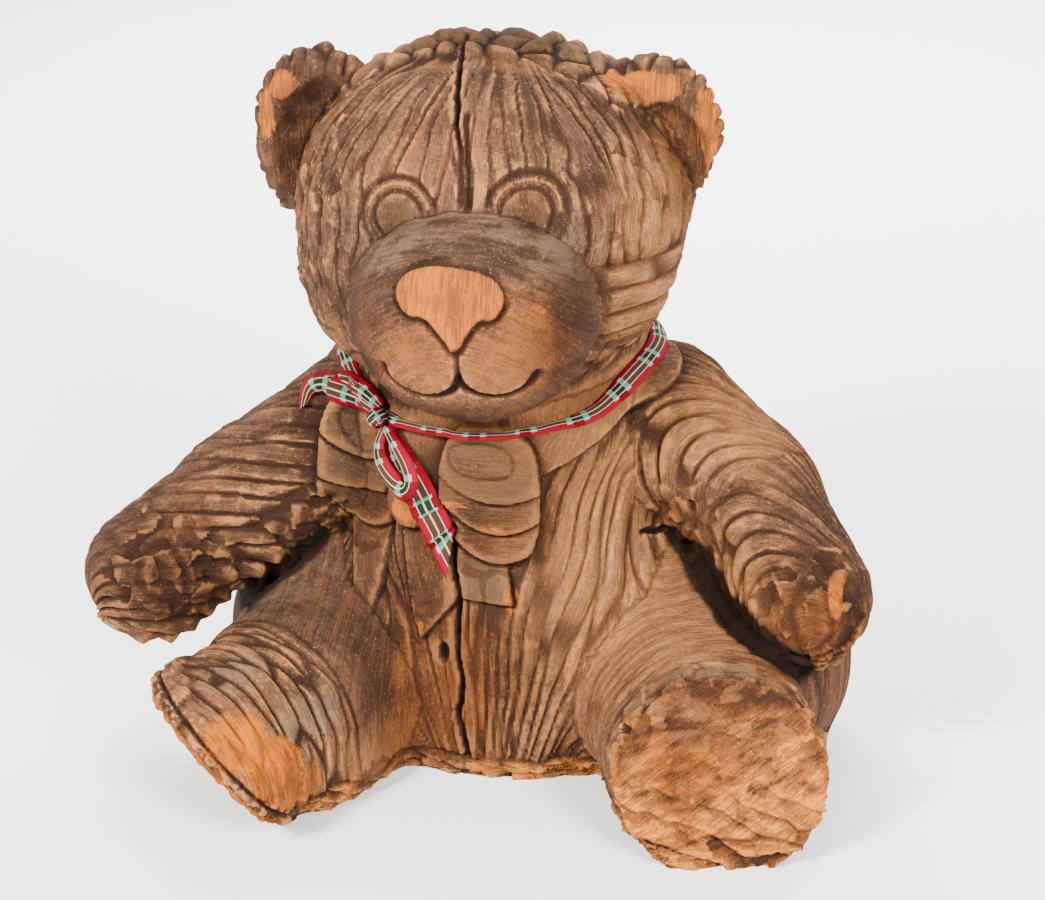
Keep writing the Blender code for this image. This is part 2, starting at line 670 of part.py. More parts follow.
def make_ribbon(parts, bear):
    """The ribbon: a band round the neck, its knot, and the end that hangs from it."""
    graph = bpy.context.evaluated_depsgraph_get()
    wood = BVHTree.FromObject(bear, graph)
    width, gap = RIBBON_WIDTH / SHARE, (RIBBON_GAP + RIBBON_THICKNESS / 2) / SHARE
    ring = smoothed(neck_ring(), 10, True)
    away = ring - (*NECK, 0)
    away[:, 2] = 0
    away /= np.linalg.norm(away, axis=1, keepdims=True)
    lean = math.radians(BAND_LEAN)
    up = np.array((0, 0, 1))
    out = math.cos(lean) * away + math.sin(lean) * up
    rise = math.cos(lean) * up - math.sin(lean) * away
    half = width * BAND_FOLD / 2 * rise
    edges = stand_off(wood, ring - half, ring + half, out, gap)
    for _ in range(3):
        edges = stand_off(wood, *[smoothed(edge, 3, True) for edge in edges], out, gap)
    ribbon = strip(parts, "ribbon", *edges, True)
    share = np.linspace(0, 1, TAIL_STEPS)
    spots = np.linspace(0, 1, len(TAIL_ROUTE))
    tail = np.stack([np.interp(share, spots, column) for column in np.array(TAIL_ROUTE, float).T], axis=1)
    across = np.array(TAIL_ACROSS) / np.linalg.norm(TAIL_ACROSS)
    forward = np.tile((0.0, -1.0, 0.0), (TAIL_STEPS, 1))
    half = width / 2 * np.interp(share, *TAIL_TAPER)[:, None]
    edges = stand_off(wood, tail - half * across, tail + half * across, forward, gap)
    combine(ribbon, "UNION", strip(parts, "tail", *edges, False))
    place = Vector(KNOT.middle)
    while clearance(wood, place) < KNOT.radii[1] + gap:
        place = place + Vector(KNOT_WAY) * OFF_STEP
    knot = replace(KNOT, middle=tuple(place))
    combine(ribbon, "UNION", rough_out(parts, "knot", [knot], voxel=KNOT_VOXEL))
    ribbon.data.name = "ribbon"
    return ribbon


def finish(name, colour, roughness):
    material = bpy.data.materials.new(name)
    material.use_nodes = True
    shader = material.node_tree.nodes["Principled BSDF"]
    shader.inputs["Base Color"].default_value = (*colour, 1)
    shader.inputs["Roughness"].default_value = roughness
    shader.inputs["Metallic"].default_value = 0.0
    return material


def main():
    for leftover in list(bpy.data.objects):
        bpy.data.objects.remove(leftover)
    parts = bpy.data.collections.new("carved_bear")
    bpy.context.scene.collection.children.link(parts)
    bear = make_bear(parts)
    ribbon = make_ribbon(parts, bear)
    corners = positions(bear.data)
    middle = (corners.min(axis=0) + corners.max(axis=0)) / 2
    middle[2] = 0
    finishes = ((bear, finish("carved_wood", (0.13, 0.065, 0.033), 0.8)),
                (ribbon, finish("tartan_ribbon", (0.42, 0.02, 0.03), 0.5)))
    for piece, material in finishes:
        set_positions(piece.data, (positions(piece.data) - middle) * SHARE)
        piece.data.materials.clear()
        piece.data.materials.append(material)
        piece.data.shade_smooth()
        piece.data.set_sharp_from_angle(angle=math.radians(35))


if __name__ == "__main__":
    main()
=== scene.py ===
"""A seated teddy bear carved from one log, with a tartan ribbon tied round its neck.

The bear is roughed out from balls and limbs, drawn onto one smooth form, carved with
gouge strokes and weathered. It faces -Y and sits on Z = 0. Until it is finished it is
worked in shares, four-hundredths of its height, and only then brought to metres.
"""

import itertools
import math
from dataclasses import dataclass

import bmesh
import bpy
import numpy as np
from mathutils import Euler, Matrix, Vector
from mathutils.bvhtree import BVHTree


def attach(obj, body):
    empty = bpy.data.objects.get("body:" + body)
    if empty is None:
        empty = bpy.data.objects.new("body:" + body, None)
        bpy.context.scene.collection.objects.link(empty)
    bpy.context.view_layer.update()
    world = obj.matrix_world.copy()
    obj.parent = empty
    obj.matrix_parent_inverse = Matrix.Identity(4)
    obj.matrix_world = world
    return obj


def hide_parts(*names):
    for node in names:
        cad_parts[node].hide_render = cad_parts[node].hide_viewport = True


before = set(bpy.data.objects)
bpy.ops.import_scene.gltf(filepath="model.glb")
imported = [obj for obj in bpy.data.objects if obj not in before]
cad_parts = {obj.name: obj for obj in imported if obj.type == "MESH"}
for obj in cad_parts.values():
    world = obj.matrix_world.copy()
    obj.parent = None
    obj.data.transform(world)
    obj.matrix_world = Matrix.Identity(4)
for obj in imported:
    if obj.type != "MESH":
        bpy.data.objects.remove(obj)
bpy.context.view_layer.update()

BEAR_HEIGHT = 0.400
RIBBON_WIDTH = 0.016
SHARE = BEAR_HEIGHT / 400

ROUGH_VOXEL = 4.0
FINE_VOXEL = 1.3
BEAR_TRIANGLES = 190000
WASTE = 1.5

SPLIT_DEPTH = 7.0
COLLAR_RISE = 2.0


def smooth_union(first, second, blend):
    """The union of two forms, from their distances, its joint rounded over the blend."""
    near = np.clip(1 - np.abs(first - second) / blend, 0, 1)
    return np.minimum(first, second) - near**2 * blend / 4


@dataclass
class Lump:
    """An ellipsoid mass: its middle, half sizes, turn in degrees, how softly it joins, its hollow."""

    region: str
    middle: tuple
    radii: tuple
    turn: tuple = (0, 0, 0)
    blend: float = 14.0
    hollow: "Lump" = None

    def distance(self, points):
        axes = np.array(Euler([math.radians(a) for a in self.turn]).to_matrix())
        local = (points - np.array(self.middle)) @ axes
        radii = np.array(self.radii)
        inner = np.linalg.norm(local / radii, axis=1)
        outer = np.linalg.norm(local / radii**2, axis=1) + 1e-9
        distance = inner * (inner - 1) / outer
        if self.hollow:
            distance = -smooth_union(-distance, self.hollow.distance(points), self.hollow.blend)
        return distance


@dataclass
class Limb:
    """A round limb that tapers from one ball to another, cut flat at its end if it has a sole."""

    region: str
    start: tuple
    end: tuple
    start_radius: float
    end_radius: float
    blend: float = 14.0
    sole: tuple = None

    def distance(self, points):
        start, end = np.array(self.start), np.array(self.end)
        along = end - start
        share = np.clip((points - start) @ along / (along @ along), 0, 1)
        nearest = start + share[:, None] * along
        radius = self.start_radius + share * (self.end_radius - self.start_radius)
        distance = np.linalg.norm(points - nearest, axis=1) - radius
        if self.sole:
            distance = np.maximum(distance, (points - end) @ np.array(self.sole))
        return distance


LEFT_CUP = Lump("ear", (-85, -24, 321), (29, 24, 37), turn=(0, 0, 14), blend=3)
RIGHT_CUP = Lump("ear", (82, -25, 321), (28, 24, 30), turn=(0, 0, -14), blend=3)

ARM_GAP = 8.0

BODY = [
    Lump("torso", (6, 4, 84), (94, 84, 104), blend=20),
    Lump("torso", (6, 0, 22), (94, 78, 56), blend=16),
    Lump("torso", (4, 4, 176), (84, 70, 66), blend=26),
    Lump("head", (-2, -8, 296), (99.5, 88, 80), blend=8),
    Lump("head", (-7, -14, 257), (92, 78, 61), blend=20),
    Lump("muzzle", (3, -88, 261), (60, 54, 52.5), turn=(-8, 0, 0), blend=3),
    Lump("left_leg", (-84, 2, 46), (66, 68, 72), blend=18),
    Lump("right_leg", (112, 0, 48), (77, 70, 76), blend=18),
    Limb("left_leg", (-74, -32, 40), (-122, -134.5, 36), 55, 48, blend=16, sole=(-0.693, -0.375, -0.616)),
    Limb("right_leg", (102, -34, 44), (133.5, -133, 43), 57, 51, blend=16, sole=(0.178, -0.969, 0.169)),
    Lump("left_leg", (-70, -94, 14), (22, 40, 21), turn=(0, 0, -30), blend=10),
    Lump("right_leg", (98, -98, 14), (22, 40, 21), turn=(0, 0, 27), blend=10),
]
EARS = [
    Lump("ear", (-92, -2, 323.5), (34, 19, 46), turn=(0, 0, 12), blend=8, hollow=LEFT_CUP),
    Lump("ear", (76.5, -2, 333), (36, 19, 38), turn=(0, 0, -12), blend=8, hollow=RIGHT_CUP),
]
UPPER_ARMS = [
    Limb("left_arm", (-70, 0, 172), (-131, -25, 131), 40, 36, blend=9),
    Limb("right_arm", (84, 4, 180), (130, -14, 148), 40, 35, blend=9),
]
FOREARMS = [
    Limb("left_arm", (-131, -25, 131), (-178, -54, 97), 36, 35, blend=12),
    Limb("right_arm", (130, -14, 148), (165, -48, 107), 35, 34, blend=12),
]
MASSES = BODY + EARS + UPPER_ARMS + FOREARMS
FEET = [mass for mass in MASSES if isinstance(mass, Limb) and mass.sole]


def behind_sole(points, foot):
    """How far each point is behind the flat sole of the foot."""
    return (points - np.array(foot.end)) @ -np.array(foot.sole)


def form(points):
    """The figure's smooth form before carving: below 0 inside the wood, above 0 outside."""
    body = None
    for mass in BODY + EARS:
        distance = mass.distance(points)
        body = distance if body is None else smooth_union(body, distance, mass.blend)
    whole = body
    for upper, fore in zip(UPPER_ARMS, FOREARMS):
        forearm = fore.distance(points)
        whole = -smooth_union(-whole, forearm - ARM_GAP, 3)
        arm = smooth_union(upper.distance(points), forearm, fore.blend)
        whole = smooth_union(whole, arm, upper.blend)
    return whole


def slope(points, step=0.05):
    """The form's value and its gradient at each point."""
    value = form(points)
    parts = [(form(points + axis) - value) / step for axis in np.eye(3) * step]
    return value, np.stack(parts, axis=1)


def draw_onto_form(points, rounds=6, longest=6.0):
    """Moves the points along the form's slope until they lie on its surface."""
    for _ in range(rounds):
        value, gradient = slope(points)
        steep = np.maximum((gradient**2).sum(axis=1), 0.05)
        move = -(value / steep)[:, None] * gradient
        length = np.linalg.norm(move, axis=1, keepdims=True)
        points = points + move * np.minimum(1, longest / np.maximum(length, 1e-9))
    return points


def chance(number, seed):
    """A fixed random value from 0 to 1 for each whole number."""
    mixed = np.sin(number * 12.9898 + seed * 78.233) * 43758.5453
    return mixed - np.floor(mixed)


CELL_CODE = np.array((1.0, 57.0, 113.0))
LANE_CODE = 57


def noise(points, size, seed):
    """Smooth random values from -1 to 1 that turn over about once in each size."""
    cell = np.floor(points / size)
    part = points / size - cell
    ease = part * part * (3 - 2 * part)
    total = 0
    for corner in itertools.product((0, 1), repeat=3):
        value = chance((cell + corner) @ CELL_CODE, seed)
        total = total + value * np.where(corner, ease, 1 - ease).prod(axis=1)
    return 2 * total - 1


def ramp(low, high, value):
    """Eases from 0 at low to 1 at high."""
    share = np.clip((value - low) / (high - low), 0, 1)
    return share * share * (3 - 2 * share)


@dataclass
class Locks:
    """What each point is told of its lock of fur."""

    edge: np.ndarray
    side: np.ndarray
    name: np.ndarray

    def own(self, seed):
        """A value from 0 to 1 that the whole lock shares."""
        return chance(self.name, seed)


def locks(lane, along, seed, around=1e6):
    """Long locks that lie side by side, one lane wide, and end in points between their neighbours."""
    row, step = np.floor(lane), np.floor(along)
    far, side, name = [], [], []
    for across, onward in itertools.product((-1, 0, 1), repeat=2):
        home = (row + across) % around * LANE_CODE + step + onward
        u = row + across + 0.5 + 0.5 * (chance(home, seed) - 0.5) - lane
        v = step + onward + 0.5 + 0.9 * (chance(home, seed + 1) - 0.5) - along
        far.append(np.stack([u, v]))
        side.append(-u)
        name.append(home)
    far, side, name = np.array(far), np.array(side), np.array(name)
    reach = (far**2).sum(axis=1)
    nearest = reach.argmin(axis=0)[None]
    own = np.take_along_axis(far, nearest[:, None], 0)[0]
    apart = np.maximum(np.sqrt(((far - own) ** 2).sum(axis=1)), 1e-6)
    edge = (reach - reach.min(axis=0)) / (2 * apart)
    np.put_along_axis(edge, nearest, 9.0, 0)
    side, name = [np.take_along_axis(values, nearest, 0)[0] for values in (side, name)]
    return Locks(edge.min(axis=0), side, name)


def creases(fur, pitch=10.0):
    """Above 0 in the creases between locks, where the material paints shade; below 0 on the edges beside
    them, which it paints lighter as rubbed wear with a painted highlight.
    """
    wide = 10 / pitch
    edge = fur.edge / wide
    wear_and_highlight = ramp(0.08, 0.14, edge) * ramp(0.36, 0.18, edge) * ramp(0.35, 0.75, fur.own(3))
    return (0.6 * ramp(0.14 * wide, 0.01, fur.edge) - 0.45 * wear_and_highlight) * ramp(3.5, 8.0, pitch)


def deepest(cut_shading, cut):
    """The creases with a cut drawn over them."""
    return np.where(cut > 0.02, np.maximum(cut_shading, cut), cut_shading)


def rounded(fur, depth, seed):
    """Locks with round backs and narrow creases between them, each at its own height and lean."""
    back = 1 - (1 - np.clip(fur.edge / 0.34, 0, 1)) ** 2.4
    lean = 0.8 * (fur.own(seed + 7) - 0.5) * fur.side
    height = 0.22 * fur.own(seed + 8)
    return depth * (back * (1 + lean - height) - 1)


def planked(fur, depth, seed):
    """Flat locks parted by narrow cuts, some of them hollowed by the gouge."""
    back = ramp(0.0, 0.14, fur.edge)
    scoop = ramp(0.1, 0.42, fur.edge) * ramp(0.45, 0.85, fur.own(seed + 9))
    lean = 1.3 * (fur.own(seed + 7) - 0.5) * fur.side
    height = 0.25 * fur.own(seed + 8)
    return depth * (back * (1 + lean - height) - 0.6 * scoop - 1)


def knobbed(fur, height, seed):
    """Round-topped knobs, some higher than others."""
    top = np.sqrt(np.clip(fur.edge / 0.42, 0, 1))
    return height * (top * (0.6 + 0.4 * fur.own(seed + 8)) - 0.5)


def chips(points, size, seed):
    """Flat facets as of chopped wood, from about -1 to 1."""
    cell = np.floor(points / size)
    part = points / size - cell
    nearest = np.full(len(points), 1e9)
    height = np.zeros(len(points))
    for step in itertools.product((-1, 0, 1), repeat=3):
        name = (cell + step) @ CELL_CODE
        middle = np.stack([chance(name, seed + axis) for axis in range(3)], axis=1) + step
        off = part - middle
        lean = np.stack([chance(name, seed + 3 + axis) - 0.5 for axis in range(3)], axis=1)
        reach = (off**2).sum(axis=1)
        facet = 1.2 * (chance(name, seed + 6) - 0.5) + 1.6 * (off * lean).sum(axis=1)
        height = np.where(reach < nearest, facet, height)
        nearest = np.minimum(nearest, reach)
    return height


def groove(distance, width):
    """A cut with sloping sides: 1 along its middle, 0 at half its width."""
    return np.clip(1 - np.abs(distance) / (width / 2), 0, 1) ** 0.7


def path_distance(u, v, path):
    """The distance from each point of a chart to a run of straight lines."""
    best = np.full(len(u), 1e9)
    for (u0, v0), (u1, v1) in zip(path, path[1:]):
        run = np.array((u1 - u0, v1 - v0), float)
        share = np.clip(((u - u0) * run[0] + (v - v0) * run[1]) / (run @ run), 0, 1)
        best = np.minimum(best, np.hypot(u - u0 - share * run[0], v - v0 - share * run[1]))
    return best


def corners_cut(corners, rounds=2):
    """A closed patch's outline with its corners rounded off."""
    outline = np.array(corners, float)
    for _ in range(rounds):
        after = np.roll(outline, -1, axis=0)
        cuts = [0.75 * outline + 0.25 * after, 0.25 * outline + 0.75 * after]
        outline = np.stack(cuts, axis=1).reshape(-1, 2)
    return [tuple(corner) for corner in outline]


def patch_distance(u, v, corners):
    """The distance to a closed patch's edge in a chart, below 0 inside the patch."""
    inside = np.zeros(len(u), bool)
    for (u0, v0), (u1, v1) in zip(corners, corners[1:] + corners[:1]):
        crosses = (v0 > v) != (v1 > v)
        reach = u0 + (v - v0) * (u1 - u0) / ((v1 - v0) or 1e-9)
        inside ^= crosses & (u < reach)
    return np.where(inside, -1, 1) * path_distance(u, v, corners + corners[:1])


def region_shares(points):
    """How much each region owns each point; the shares add up to 1."""
    reach = {}
    for mass in MASSES:
        distance = mass.distance(points)
        reach[mass.region] = np.minimum(reach.get(mass.region, 1e9), distance)
    nearest = np.min(list(reach.values()), axis=0)
    shares = {name: np.clip(1 - (distance - nearest) / 5, 0, 1) ** 2 for name, distance in reach.items()}
    total = sum(shares.values())
    return {name: share / total for name, share in shares.items()}


HEAD_LANES = 48
HEAD_AXIS = (-1, -8)


def head_fur(points):
    """Flat locks that fall from the crown, knobs on the crown, bars on the cheek, short locks on the jaw."""
    x, y, z = points.T
    sway = 0.07 * noise(points, 36, 3) + 0.03 * noise(points, 15, 4) + 0.012 * noise(points, 7, 2)
    angle = np.arctan2(x - HEAD_AXIS[0], -(y - HEAD_AXIS[1])) + sway
    lane = (angle / (2 * math.pi) * HEAD_LANES) % HEAD_LANES
    fur = locks(lane, (z + 8 * noise(points, 30, 15)) / 64, 11, HEAD_LANES)
    flank = ramp(38, 72, np.abs(x - HEAD_AXIS[0]))
    relief = (1 - flank) * planked(fur, 2.0, 11) + flank * rounded(fur, 2.6, 11)
    relief = relief + 1.1 * flank * chips(points, 10, 16)
    pitch = np.hypot(x - HEAD_AXIS[0], y - HEAD_AXIS[1]) * 2 * math.pi / HEAD_LANES
    cut_shading = creases(fur, pitch) * (0.55 + 0.45 * flank)
    top = ramp(348, 354, z + 3 * noise(points, 16, 8))
    crown = top * ramp(-34, -28, y + 0.12 * x + 2 * noise(points, 9, 9))
    cheek = ramp(56, 66, x) * ramp(286, 280, z) * ramp(-8, -22, y) * ramp(236, 244, z)
    knobs = locks((x + 4 * noise(points, 17, 5)) / 14 + 40, (y + 5 * noise(points, 22, 6)) / 17, 12)
    bars = locks((z + 2.5 * noise(points, 25, 7)) / 12.5 + 0.4, x / 55, 13)
    short = locks((lane * 0.9) % HEAD_LANES, z / 19, 14)
    layers = (
        (crown, knobs, 2.4 + knobbed(knobs, 8.5, 12), 0.3),
        (cheek, bars, 1.4 + rounded(bars, 4.6, 13), 1.0),
        (ramp(244, 236, z), short, rounded(short, 3.6, 14), 0.9),
    )
    for share, kind, height, cut in layers:
        relief = relief * (1 - share) + share * height
        cut_shading = cut_shading * (1 - share) + share * creases(kind) * cut
    return relief, cut_shading, lane * 12 * (1 - cheek) + z * cheek, z * (1 - cheek) + x * cheek


TORSO_LANES = 50
TORSO_AXIS = (6, 4)


def torso_fur(points):
    """Round-backed locks that run down the body and draw together towards the seat in front."""
    x, y, z = points.T
    angle = np.arctan2(x - TORSO_AXIS[0], -(y - TORSO_AXIS[1]))
    front = np.cos(angle / 2) ** 2
    spread = 1 + (225 / (z + 85) - 1) * front
    sway = 0.11 * noise(points, 48, 21) + 0.022 * noise(points, 18, 22)
    sway = sway - 0.0022 * (z - 100) * ramp(0, 50, x) * front
    lane = ((angle * spread + sway) / (2 * math.pi) * TORSO_LANES) % TORSO_LANES
    fur = locks(lane, (z + 12 * noise(points, 40, 25)) / 108, 23, TORSO_LANES)
    flat = ramp(4, -16, x)
    relief = rounded(fur, 3.8, 23) * (1 - flat) + planked(fur, 2.2, 23) * flat
    return relief, creases(fur, 11 / spread), lane * 11, z


def limb_chart(points, limbs, top):
    """The distance along a limb and the angle round it, 0 at the top and positive to the front."""
    begun = 0.0
    best = np.full(len(points), 1e9)
    along, angle = np.zeros(len(points)), np.zeros(len(points))
    for limb in limbs:
        start, end = np.array(limb.start), np.array(limb.end)
        run = end - start
        length = np.linalg.norm(run)
        run = run / length
        up = np.array(top) - run * (run @ np.array(top))
        up /= np.linalg.norm(up)
        side = np.cross(run, up)
        side *= -np.sign(side[1]) or 1
        share = (points - start) @ run
        reach = limb.distance(points)
        nearer = reach < best
        best = np.where(nearer, reach, best)
        along = np.where(nearer, begun + share, along)
        angle = np.where(nearer, np.arctan2((points - start) @ side, (points - start) @ up), angle)
        begun += length
    return along, angle


def arm_fur(points, region, seed, lane, swing, turned):
    """Bars wound round an arm, deep below and in front and faint above, with a row of teeth underneath."""
    limbs = [mass for mass in MASSES if mass.region == region]
    along, angle = limb_chart(points, limbs, (0, 0, 1))
    twist = round(136 / lane) * lane / (2 * math.pi)
    wound = along + twist * (angle + swing * np.sin(angle + turned))
    wound = wound + 2.2 * noise(points, 34, seed) + 0.8 * noise(points, 16, seed + 1)
    fur = locks(wound / lane + 60, angle * 35 / 60, seed + 2)
    below = ramp(0.2, 1.1, angle) + ramp(-0.6, -1.5, angle)
    teeth = (along + 2 * noise(points, 20, seed + 4)) / 11.5
    teeth = 4.0 * (1 - 2 * np.abs(teeth - np.floor(teeth) - 0.5)) * ramp(2.0, 2.5, np.abs(angle))
    relief = rounded(fur, 1.8 + 3.6 * below, seed) + 0.6 * noise(points, 7, seed + 3) + teeth
    return relief, creases(fur) * (0.35 + 0.65 * below), wound, angle * 35


LEG_LANE = 8.5


def leg_fur(points, region, seed, begins, faint):
    """Rings round a leg, faint until they near its foot, and ragged tufts behind the top of the sole."""
    limbs = [mass for mass in MASSES if mass.region == region and isinstance(mass, Limb)]
    along, angle = limb_chart(points, limbs, (0, 0, 1))
    ring = along + 3.0 * noise(points, 32, seed) + 1.0 * noise(points, 15, seed + 1)
    rings = locks(ring / LEG_LANE + 60, angle * 48 / 55, seed + 2)
    deep = faint + (1 - faint) * ramp(begins, begins + 30, along)
    behind = behind_sole(points, limbs[-1]) + 4 * noise(points, 12, seed + 4)
    cuff = ramp(21, 13, behind) * ramp(1.9, 1.3, np.abs(angle - 0.15))
    near = cuff > 0
    tufts = np.zeros(len(points))
    tufts[near] = 2.4 + 2.8 * chips(points[near], 10.5, seed + 5) + 1.4 * noise(points[near], 7, seed + 6)
    relief = rounded(rings, 4.2, seed) * deep * (1 - cuff) + cuff * tufts
    ringed = deep > 0.3
    chart = np.where(ringed, ring, points[:, 0]), np.where(ringed, angle * 48, points[:, 2])
    return relief, creases(rings) * deep * (1 - cuff), *chart


def ear_fur(points):
    """Locks round the back of the ears, and plain cups in front."""
    x, y, z = points.T
    angle = np.arctan2(np.abs(x) - 86, z - 318)
    fur = locks(angle * 4.6 + 0.25 * noise(points, 16, 51) + 60, y / 34, 52)
    cup = np.minimum(LEFT_CUP.distance(points), RIGHT_CUP.distance(points))
    behind = ramp(-16, -8, y) * ramp(1.5, 5, cup)
    rough = 1.0 * noise(points, 9, 53) + 0.5 * noise(points, 4.5, 54)
    return (1.2 + rounded(fur, 4.0, 52)) * behind + rough, creases(fur) * behind, x, z


EYES = ((-33, 308), (29, 312.5))
EYE_RING = 19.5
EYE_BALL = 12.5
NOSE = corners_cut(
    [(-3, 297), (-19, 294), (-26, 285), (-19, 275), (-10, 277), (1, 266), (4.5, 259), (8, 266), (15, 277),
     (22, 275), (27, 285), (19, 294)]
)
LIPS = ((-13, 249, 18.5), (23, 250, 17.5))
LIP_FLATNESS = 1.3


def carve_face(points, relief, cut_shading, shares):
    """Eyes in their ringed sockets, the smooth muzzle, the flat nose, the two lips and the chin."""
    x, y, z = points.T
    front = ramp(-40, -60, y)
    skin = (shares["head"] + shares["ear"]) * front
    for eye_x, eye_z in EYES:
        wobble = 0.9 * noise(points, 13, 62)
        off = np.hypot(x - eye_x, (z - eye_z) * 1.04) + wobble
        socket = ramp(EYE_RING + 2, EYE_RING - 1, off) * skin
        ball = 2.0 * np.sqrt(np.clip(1 - (off / EYE_BALL) ** 2, 0, 1))
        above = 0.55 + 0.45 * ramp(-6, 8, z - eye_z)
        rims = 1.9 * above * groove(off - EYE_RING, 4) + 1.5 * groove(off - EYE_BALL, 3.4)
        rims = rims + 0.8 * groove(off - (EYE_RING + EYE_BALL) / 2, 2.6)
        relief = relief * (1 - socket) + socket * (ball - 1.3) - skin * rims
        # Painted shade in the grooves round the eye and its ball; a painted highlight with rubbed wear on the
        # ring's inner edge above the eye.
        ringed = 0.75 * above * groove(off - EYE_RING, 3.4) + 0.6 * groove(off - EYE_BALL, 3.0)
        wear_and_highlight = skin * groove(off - EYE_RING + 3.4, 2.6) * ramp(-10, 6, z - eye_z)
        cut_shading = cut_shading * (1 - socket) + skin * 0.9 * ringed - 0.7 * wear_and_highlight
    smooth = shares["muzzle"]
    relief = relief * (1 - smooth) + smooth * (0.6 * noise(points, 15, 61) + 0.25 * noise(points, 6, 63))
    cut_shading = cut_shading * (1 - smooth)
    nose = patch_distance(x, z, NOSE)
    relief = relief + smooth * 2.6 * ramp(0.8, -0.8, nose)
    under = groove(nose - 1.8, 4) * ramp(286, 280, z) * ramp(254, 262, z)
    lips = np.min([np.hypot(x - u, (z - v) * LIP_FLATNESS) - radius for u, v, radius in LIPS], axis=0)
    below = ramp(252, 245, z)
    philtrum = groove(path_distance(x, z, [(5, 262), (5.5, 256), (6, 246)]), 3.4)
    lip = groove(lips - 0.8, 6.5) * below
    cuts = 1.6 * under + 2.4 * philtrum + 1.6 * below * ramp(-0.8, 0.8, lips) + 3.4 * lip
    relief = relief - smooth * cuts
    # Painted shade in the cuts under the nose, down the philtrum and along the lips.
    return relief, deepest(cut_shading, smooth * np.maximum(np.maximum(0.9 * under, philtrum), 2.0 * lip))


COLLAR_NORMAL = (-0.272, -0.426, 0.863)
COLLAR_HEIGHT = 164.5
COLLAR_FADE = (44, 34)
COLLAR_MIDDLE = (4, 4)
COLLAR_REACH = (100, 92)
RIBBON_NORMAL = np.array((-0.0706, -0.277, 0.958))
RIBBON_LEVEL = 202.0
BOW_KNOT = (-35, 150, 10.5)


def arc_height(x, low_x, low_z, half_width, rise):
    """The height of a hanging curve: lowest at low_x, higher by rise at half_width from it."""
    return low_z + rise * ((x - low_x) / half_width) ** 2


LEFT_LOOPS = [(-62, 167, 22, 8), (-62, 149, 22, 5), (-63, 128.5, 22, 12)]
RIGHT_LOOPS = [(12, 157, 24, 9), (12, 139.5, 26, 13), (13, 124.5, 28, 15)]
LEFT_LOBE = [(-44, 196), (-70, 198), (-84, 190), (-88, 170), (-88, 116), (-44, 116)]
RIGHT_LOBE = [(-18, 194), (12, 196), (25, 190), (31, 176), (32, 120), (-18, 120)]
LEFT_HOLLOW = [(-78, 190), (-76, 178), (-68, 171), (-50, 170), (-50, 190)]
RIGHT_HOLLOW = [(-14, 186), (4, 189), (18, 185), (20, 172), (8, 168), (-12, 171)]
LEFT_TAIL = [(-74, 136), (-46, 140), (-52, 104), (-58, 84), (-68, 92)]
RIGHT_TAIL = [(-41, 140), (-33, 94), (-28, 80), (-8, 106), (20, 103), (14, 138)]


def below_jaw(points):
    """1 round the neck and fading out above the ribbon, where the jaw's locks begin."""
    return ramp(20, 12, points @ RIBBON_NORMAL - RIBBON_LEVEL)


def collar(points):
    """How far each point is above the collar's lower edge, and 1 where it is near the neck."""
    height = points @ np.array(COLLAR_NORMAL) - COLLAR_HEIGHT
    reach = np.hypot(points[:, 0] - COLLAR_MIDDLE[0], points[:, 1] - COLLAR_MIDDLE[1])
    return height, ramp(*COLLAR_FADE, height) * ramp(*COLLAR_REACH, reach)


